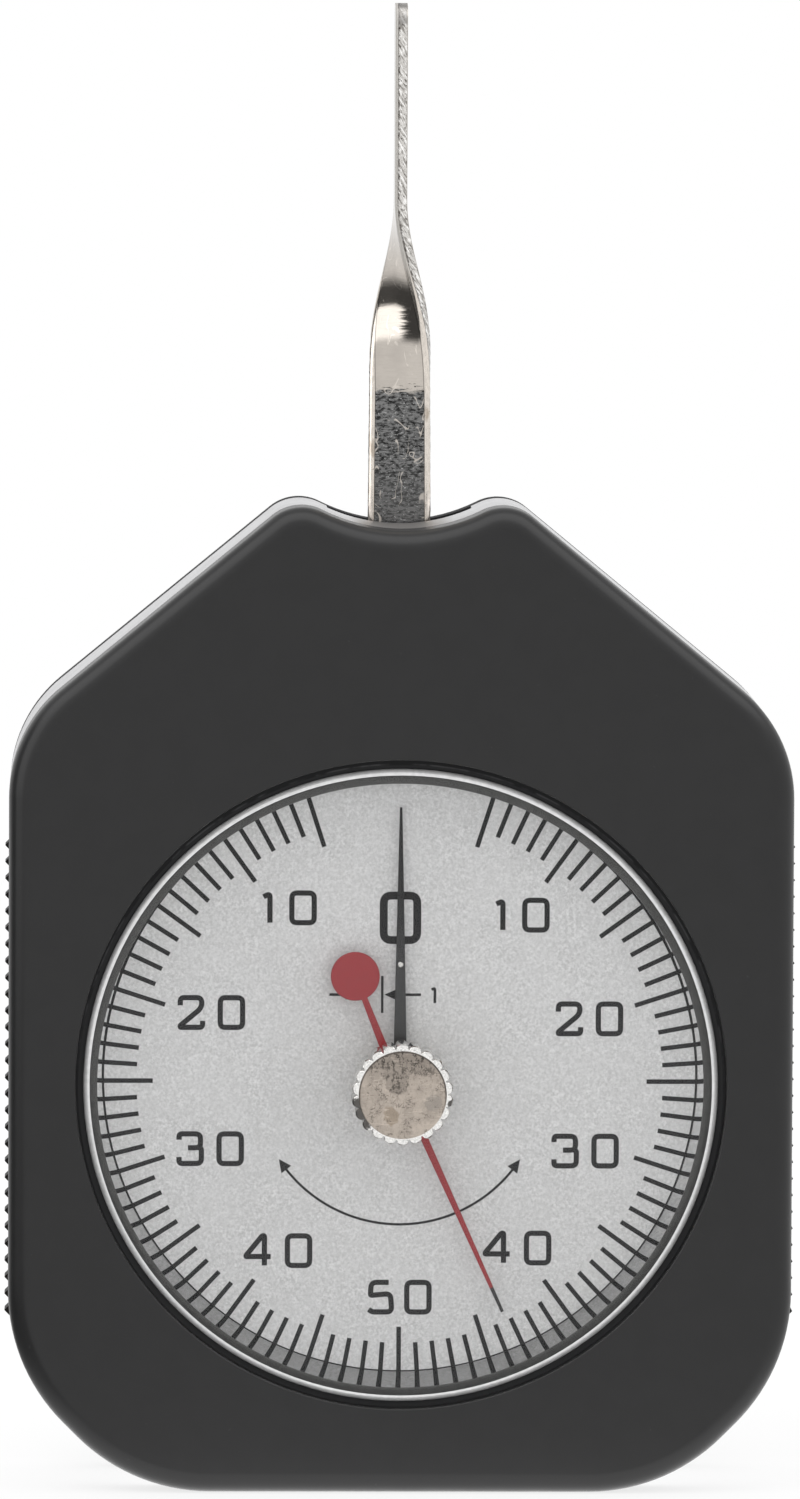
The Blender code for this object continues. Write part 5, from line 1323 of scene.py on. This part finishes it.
# Knob and needles
class GAUGE_OT_knob(Operator):
    """Build the knurled reset knob with its worn, crowned face"""

    bl_idname = "gauge.knob"
    bl_label = "Reset knob"

    def ring(self, bm, sizes, y, swell, inwards):
        """A closed row of rounded lobes at that depth."""
        steps, filled = 14, 0.92  # the steps of a lobe, and the share of them that stands out
        count = sizes.knob_lobes * steps
        verts = bmesh.ops.create_circle(bm, segments=count, radius=1.0)["verts"]
        for k, vert in enumerate(verts):
            angle = math.tau * k / count
            aside = (k % steps + 0.5) / steps * 2 - 1
            rise = math.sqrt(max(0.0, 1 - (aside / filled) ** 2)) * sizes.knob_rib * swell
            radius = sizes.knob_radius - inwards + rise
            vert.co = (radius * math.sin(angle), y, radius * math.cos(angle))
        own = set(verts)
        return [e for e in bm.edges if all(v in own for v in e.verts)]

    def execute(self, context):
        sizes = context.scene.gauge_sizes
        front, back = KNOB_LOW.y, KNOB_HIGH.y
        grip_front, grip_back = front + 0.22 * MM, back - 1.0 * MM
        knob = bmesh.new()
        levels = [(grip_front, 0.40, 0.05 * MM), (grip_front + 0.08 * MM, 0.76, 0.0)]
        levels += [(grip_front + 0.20 * MM, 0.95, 0.0), (grip_front + 0.34 * MM, 1.0, 0.0)]
        levels += [(grip_back - 0.3 * MM, 1.0, 0.0), (grip_back, 0.7, 0.0)]
        loops = [self.ring(knob, sizes, *level) for level in levels]
        for first, second in zip(loops, loops[1:]):
            bmesh.ops.bridge_loops(knob, edges=first + second)
        for loop in (loops[0], loops[-1]):
            bmesh.ops.contextual_create(knob, geom=loop)
        bmesh.ops.recalc_face_normals(knob, faces=knob.faces)
        bmesh.ops.translate(knob, verts=knob.verts, vec=(0.0, 0.0, SPINDLE))
        edge = 0.10 * MM
        rim_radius = sizes.knob_radius - 0.14 * MM
        crown = [(0.0, front), (rim_radius * 0.45, front + 0.012 * MM)]
        crown += [(rim_radius * 0.8, front + 0.05 * MM)]
        crown += quarter((rim_radius - edge, front + 0.08 * MM + edge), edge, 285, 360)
        crown += [(rim_radius, grip_front + 0.1 * MM), (0.0, grip_front + 0.1 * MM)]
        lathe(crown, steps=96, bm=knob)
        inner, outer, neck_front = 1.0 * MM, 2.7 * MM, grip_back - 0.05 * MM
        neck = [(inner, neck_front), (outer, neck_front), (outer, back), (inner, back)]
        lathe(neck, steps=96, bm=knob)
        turn_about(knob, knob.verts, sizes.red_turn)

        def on_face(face):
            centre = face.calc_center_median()
            return centre.y < grip_front - NEAR and out_from(centre) < rim_radius + NEAR

        def on_edge(face):
            centre = face.calc_center_median()
            deep = grip_front + 0.10 * MM < centre.y < grip_front + 0.33 * MM
            return deep and out_from(centre) > rim_radius + 0.05 * MM

        paint(knob, 1, on_face)
        paint(knob, 2, on_edge)
        finishes = [bright_nickel, worn_nickel, rib_edge]
        settle("knob_knurled", knob, "reset", finishes, "reset_knob")
        return {"FINISHED"}


class GAUGE_OT_needles(Operator):
    """Build the black and the red needle and the peg between them"""

    bl_idname = "gauge.needles"
    bl_label = "Needles"

    def mirrored(self, right):
        """The whole outline of a needle from its right half."""
        return right + [(-x, z, radius) for x, z, radius in reversed(right)]

    def needle(self, corners, low, high, hole, edge, segments):
        """A flat needle with those corners (x, z, radius) about the spindle and a rounded front edge."""
        raised = [(x, SPINDLE + z, radius) for x, z, radius in corners]
        made = slab(raised, low.y, high.y, COARSE)
        soften(made, rim(made, low.y), edge, segments)
        soften(made, rim(made, high.y), 0.03 * MM)
        return cut(made, posts([(0.0, SPINDLE)], hole, low.y - PAST, high.y + PAST))

    def black(self, sizes):
        """The black needle, with a short pointed tail."""
        eye, half, tip = 1.9 * MM, 0.52 * MM, 0.10 * MM
        right = [(eye, -eye / 2, eye / 2), (eye, eye / 2, eye / 2)]
        right += [(half, eye * 1.5, half), (tip, sizes.black_reach, 0.0)]
        corners = self.mirrored(right) + [(0.0, -eye * 1.2, eye / 2)]
        return self.needle(corners, BLACK_LOW, BLACK_HIGH, 1.3 * MM, 0.06 * MM, 3)

    def red(self, sizes):
        """The red needle, whose tail disc stands a little off its line."""
        eye, half, tip = 2.05 * MM, 0.33 * MM, 0.13 * MM
        lean, disc = math.radians(1.8), sizes.red_disc
        join = math.asin(0.25 * MM / disc)
        x, z = sizes.red_tail * math.sin(math.pi + lean), sizes.red_tail * math.cos(math.pi + lean)
        tail = []
        for k in range(SMALL, -1, -1):
            angle = lean + join + (math.tau - 2 * join) * k / SMALL
            tail.append((x + disc * math.sin(angle), z + disc * math.cos(angle), 0.0))
        right = [(half, -eye * 1.2, half), (eye, -eye / 2, eye / 2), (eye, eye / 2, eye / 2)]
        right += [(half, eye * 1.2, half), (tip, sizes.red_reach, 0.0)]
        made = self.needle(self.mirrored(right) + tail, RED_LOW, RED_HIGH, 1.45 * MM, 0.10 * MM, 4)
        turn_about(made, made.verts, sizes.red_turn)
        return made

    def peg(self):
        """The peg, with a rounded end in front."""
        low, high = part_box("drag_pin")
        radius = (high.x - low.x) / 2
        edge = radius * 0.45
        profile = [(0.0, low.y)] + quarter((radius - edge, low.y + edge), edge, 270, 360)
        profile += [(radius, high.y), (0.0, high.y)]
        return lathe(profile, middle("drag_pin"), 32)

    def execute(self, context):
        sizes = context.scene.gauge_sizes
        settle("black_needle", self.black(sizes), "pointer", [needle_black], "black_pointer")
        settle("red_needle", self.red(sizes), "reset", [needle_red], "red_pointer")
        settle("drag_peg", self.peg(), "pointer", [plain_nickel], "drag_pin")
        return {"FINISHED"}


# Stylus
class GAUGE_OT_stylus(Operator):
    """Build the twisted steel stylus with its sheared edges"""

    bl_idname = "gauge.stylus"
    bl_label = "Stylus"

    def progress(self, z, start):
        """How far a height is from the start to the twist's end, from 0 to 1."""
        return min(max((z - start) / (TWIST_END - start), 0.0), 1.0)

    def shape(self, x, y, z):
        """Moves a point of the straight strip to its place on the tapered, twisted one."""
        along = self.progress(z, TWIST_START)
        twist = -math.pi / 2 * along * along * (3 - 2 * along)
        half = STRIP_WIDTH / 2 - STRIP_TAPER * self.progress(z, TAPER_START)
        share = half / (STRIP_WIDTH / 2)
        rise = z - (STYLUS_HIGH.z - TIP_ROUND)
        if rise > 0.0:
            share *= (half - (TIP_ROUND - math.sqrt(max(TIP_ROUND**2 - rise**2, 0.0)))) / half
        x *= share
        cos, sin = math.cos(twist), math.sin(twist)
        return (x * cos - y * sin, x * sin + y * cos + (STYLUS_LOW.y + STYLUS_HIGH.y) / 2, z)

    def strip(self):
        """The straight strip with rounded corners, in short lengths and narrow rows.

        It is narrower while its corners are rounded, so that they come out wider than deep.
        """
        width, thick, squeeze = STRIP_WIDTH, STRIP_THICKNESS, 0.55
        low, high = STYLUS_LOW.z, STYLUS_HIGH.z
        made = bmesh.new()
        bmesh.ops.create_cube(made, size=1.0)
        bmesh.ops.scale(made, verts=made.verts, vec=(width * squeeze, thick, high - low))
        bmesh.ops.translate(made, verts=made.verts, vec=(0.0, 0.0, (high + low) / 2))

        def upright(edge):
            return abs(edge.verts[0].co.z - edge.verts[1].co.z) > MM

        soften(made, [e for e in made.edges if upright(e) and e.verts[0].co.y < 0.0], 0.26 * MM, 7)
        back = [e for e in made.edges if min(v.co.y for v in e.verts) > thick / 2 - NEAR]
        soften(made, [e for e in back if upright(e)], 0.05 * MM)
        bmesh.ops.scale(made, verts=made.verts, vec=(1 / squeeze, 1.0, 1.0))
        lengths, rows = 260, 20
        cuts = [((0.0, 0.0, low + (high - low) * k / lengths), (0.0, 0.0, 1.0)) for k in range(1, lengths)]
        cuts += [((width * (k - 8) / rows, 0.0, 0.0), (1.0, 0.0, 0.0)) for k in range(1, 16)]
        for place, way in cuts:
            whole = made.verts[:] + made.edges[:] + made.faces[:]
            bmesh.ops.bisect_plane(made, geom=whole, plane_co=place, plane_no=way, dist=1e-7)
        bmesh.ops.recalc_face_normals(made, faces=made.faces)
        return made

    def execute(self, context):
        strip = self.strip()

        def on_edge(face):
            return abs(face.normal.x) > 0.97

        def on_corner(face):
            return 0.02 < abs(face.normal.x) <= 0.97 and face.calc_center_median().y < 0.0

        paint(strip, 1, on_edge)
        paint(strip, 2, on_corner)
        place = strip.verts.layers.float_vector.new("strip")
        for vert in strip.verts:
            x, y, z = vert[place] = vert.co
            if abs(x) > STRIP_WIDTH / 2 - 0.02 * MM:  # the sheared edge is a little uneven
                x += noise.noise(Vector((x, y * 3, z)) * 2600) * 0.035 * MM
            vert.co = self.shape(x, y, z)
        bmesh.ops.recalc_face_normals(strip, faces=strip.faces)
        finishes = [brushed_steel, sheared_steel, rolled_steel]
        settle("stylus_strip", strip, "lever", finishes, "stylus", even=False)
        return {"FINISHED"}


# Movement
class GAUGE_OT_movement(Operator):
    """Give the pieces inside the case their finishes"""

    bl_idname = "gauge.movement"
    bl_label = "Movement"

    def execute(self, context):
        brass, nickel, spring = (finish_of(make) for make in (turned_brass, plain_nickel, blued_spring))
        bright = ("screw", "pin", "shaft", "arbor", "spindle")
        for name, node in frame["nodes"].items():
            finish = brass
            if name in ("main_spring", "hairspring", "friction_washer"):
                finish = spring
            elif any(word in name for word in bright) and "bush" not in name:
                finish = nickel
            for slot in node.material_slots:
                slot.material = finish
        return {"FINISHED"}


# Stage
class GAUGE_OT_stage(Operator):
    """Set the camera, the floor, the world and the lamps"""

    bl_idname = "gauge.stage"
    bl_label = "Stage"

    def aimed(self, scene, name, data, place, way):
        """An object of that data which looks that way from its place."""
        made = bpy.data.objects.new(name, data)
        made.location = place
        made.rotation_mode = "QUATERNION"
        made.rotation_quaternion = way.to_track_quat("-Z", "Y")
        scene.collection.objects.link(made)
        return made

    def camera(self, scene):
        """A long lens a metre off. Half the picture is 749.5 pixels high, with 12.37 to the millimetre."""
        azimuth, elevation, roll = math.radians(-1.43), math.radians(4.0), math.radians(0.25)
        level = math.cos(elevation)
        back = Vector((math.sin(azimuth) * level, -math.cos(azimuth) * level, math.sin(elevation)))
        data = bpy.data.cameras.new("camera")
        data.sensor_fit = "VERTICAL"
        data.angle = 2 * math.atan(749.5 / 12.37 * MM)
        data.clip_start = 0.05
        made = self.aimed(scene, "camera", data, Vector((0.03 * MM, 0.0, 59.3 * MM)) + back, -back)
        made.rotation_quaternion = made.rotation_quaternion @ Quaternion((0.0, 0.0, 1.0), roll)
        scene.camera = made

    def floor(self):
        """A round plain floor."""
        bm = bmesh.new()
        bmesh.ops.create_circle(bm, cap_ends=True, segments=96, radius=1.2)
        made = meshed("floor", bm)
        made.data.materials.append(finish_of(plain_floor))

    def lamp(self, scene, name, place, size, power):
        """A round lamp that looks at the lower part of the case and has no reflection."""
        data = bpy.data.lights.new(name, "AREA")
        data.shape = "DISK"
        data.size = size
        data.energy = power
        place = Vector(place)
        made = self.aimed(scene, name, data, place, Vector((0.0, 0.0, 0.05)) - place)
        made.visible_glossy = False

    def sky(self, scene):
        """Even light. Gloss sees a white back, paler front, and a soft box and a dark strip at the left."""
        world = bpy.data.worlds.new("studio")
        scene.world = world
        f = Finish(world)
        way = f.node("SeparateXYZ", Vector=f.node("TexCoord").outputs["Generated"])
        x, y, z = (f.out(way, axis) for axis in "XYZ")
        turned = clockwise(x, y)
        box = f.band(turned, *SOFT_BOX)
        strip = f.band(turned, 82.0, 88.0, *STRIP_END)
        ceiling = f.between(z, 0.42, 0.64)
        studio = (0.95 + box) * (1.0 - strip * 0.90)
        glow = 0.95 + f.between(y, -0.76, -0.52) * f.between(y, -0.05, 0.25, 1.5, -0.25)
        studio = studio * (1.0 - ceiling) + ceiling * glow
        path = f.node("LightPath")
        glossy, diffuse = f.out(path, "Is Glossy Ray"), f.out(path, "Is Diffuse Ray")
        level = 1.0 + diffuse * 0.20 + glossy * (studio - 1.0)
        shade = f.node("Background", Color=level, Strength=1.0)
        f.close(shade.outputs[0], "OutputWorld")

    def execute(self, context):
        scene = context.scene
        scene.view_settings.view_transform = "Standard"
        self.camera(scene)
        self.floor()
        self.sky(scene)
        self.lamp(scene, "key", (-0.35, -0.45, 0.75), 0.5, 1.2)
        self.lamp(scene, "fill", (0.6, -0.5, 0.35), 0.6, 0.7)
        return {"FINISHED"}


class GAUGE_PT_panel(Panel):
    """Lists the gauge's pieces, sizes and colours in the sidebar"""

    bl_label = "Dial Tension Gauge"
    bl_space_type = "VIEW_3D"
    bl_region_type = "UI"
    bl_category = "Gauge"

    def draw(self, context):
        layout = self.layout
        for step in STEPS:
            layout.operator(step.bl_idname)
        for group in (context.scene.gauge_sizes, context.scene.gauge_colours):
            box = layout.box()
            for name in group.__annotations__:
                box.prop(group, name)


STEPS = (
    GAUGE_OT_front_shell,
    GAUGE_OT_middle_frame,
    GAUGE_OT_back_cover,
    GAUGE_OT_crystal,
    GAUGE_OT_dial,
    GAUGE_OT_knob,
    GAUGE_OT_needles,
    GAUGE_OT_stylus,
    GAUGE_OT_movement,
    GAUGE_OT_stage,
)
CLASSES = (GaugeSizes, GaugeColours) + STEPS + (GAUGE_PT_panel,)


def register():
    for cls in CLASSES:
        bpy.utils.register_class(cls)
    bpy.types.Scene.gauge_sizes = PointerProperty(type=GaugeSizes)
    bpy.types.Scene.gauge_colours = PointerProperty(type=GaugeColours)


def unregister():
    del bpy.types.Scene.gauge_colours
    del bpy.types.Scene.gauge_sizes
    for cls in reversed(CLASSES):
        bpy.utils.unregister_class(cls)


def main():
    register()
    bpy.ops.gauge.front_shell()
    bpy.ops.gauge.middle_frame()
    bpy.ops.gauge.back_cover()
    bpy.ops.gauge.crystal()
    bpy.ops.gauge.dial()
    bpy.ops.gauge.knob()
    bpy.ops.gauge.needles()
    bpy.ops.gauge.stylus()
    bpy.ops.gauge.movement()
    bpy.ops.gauge.stage()


if __name__ == "__main__":
    main()
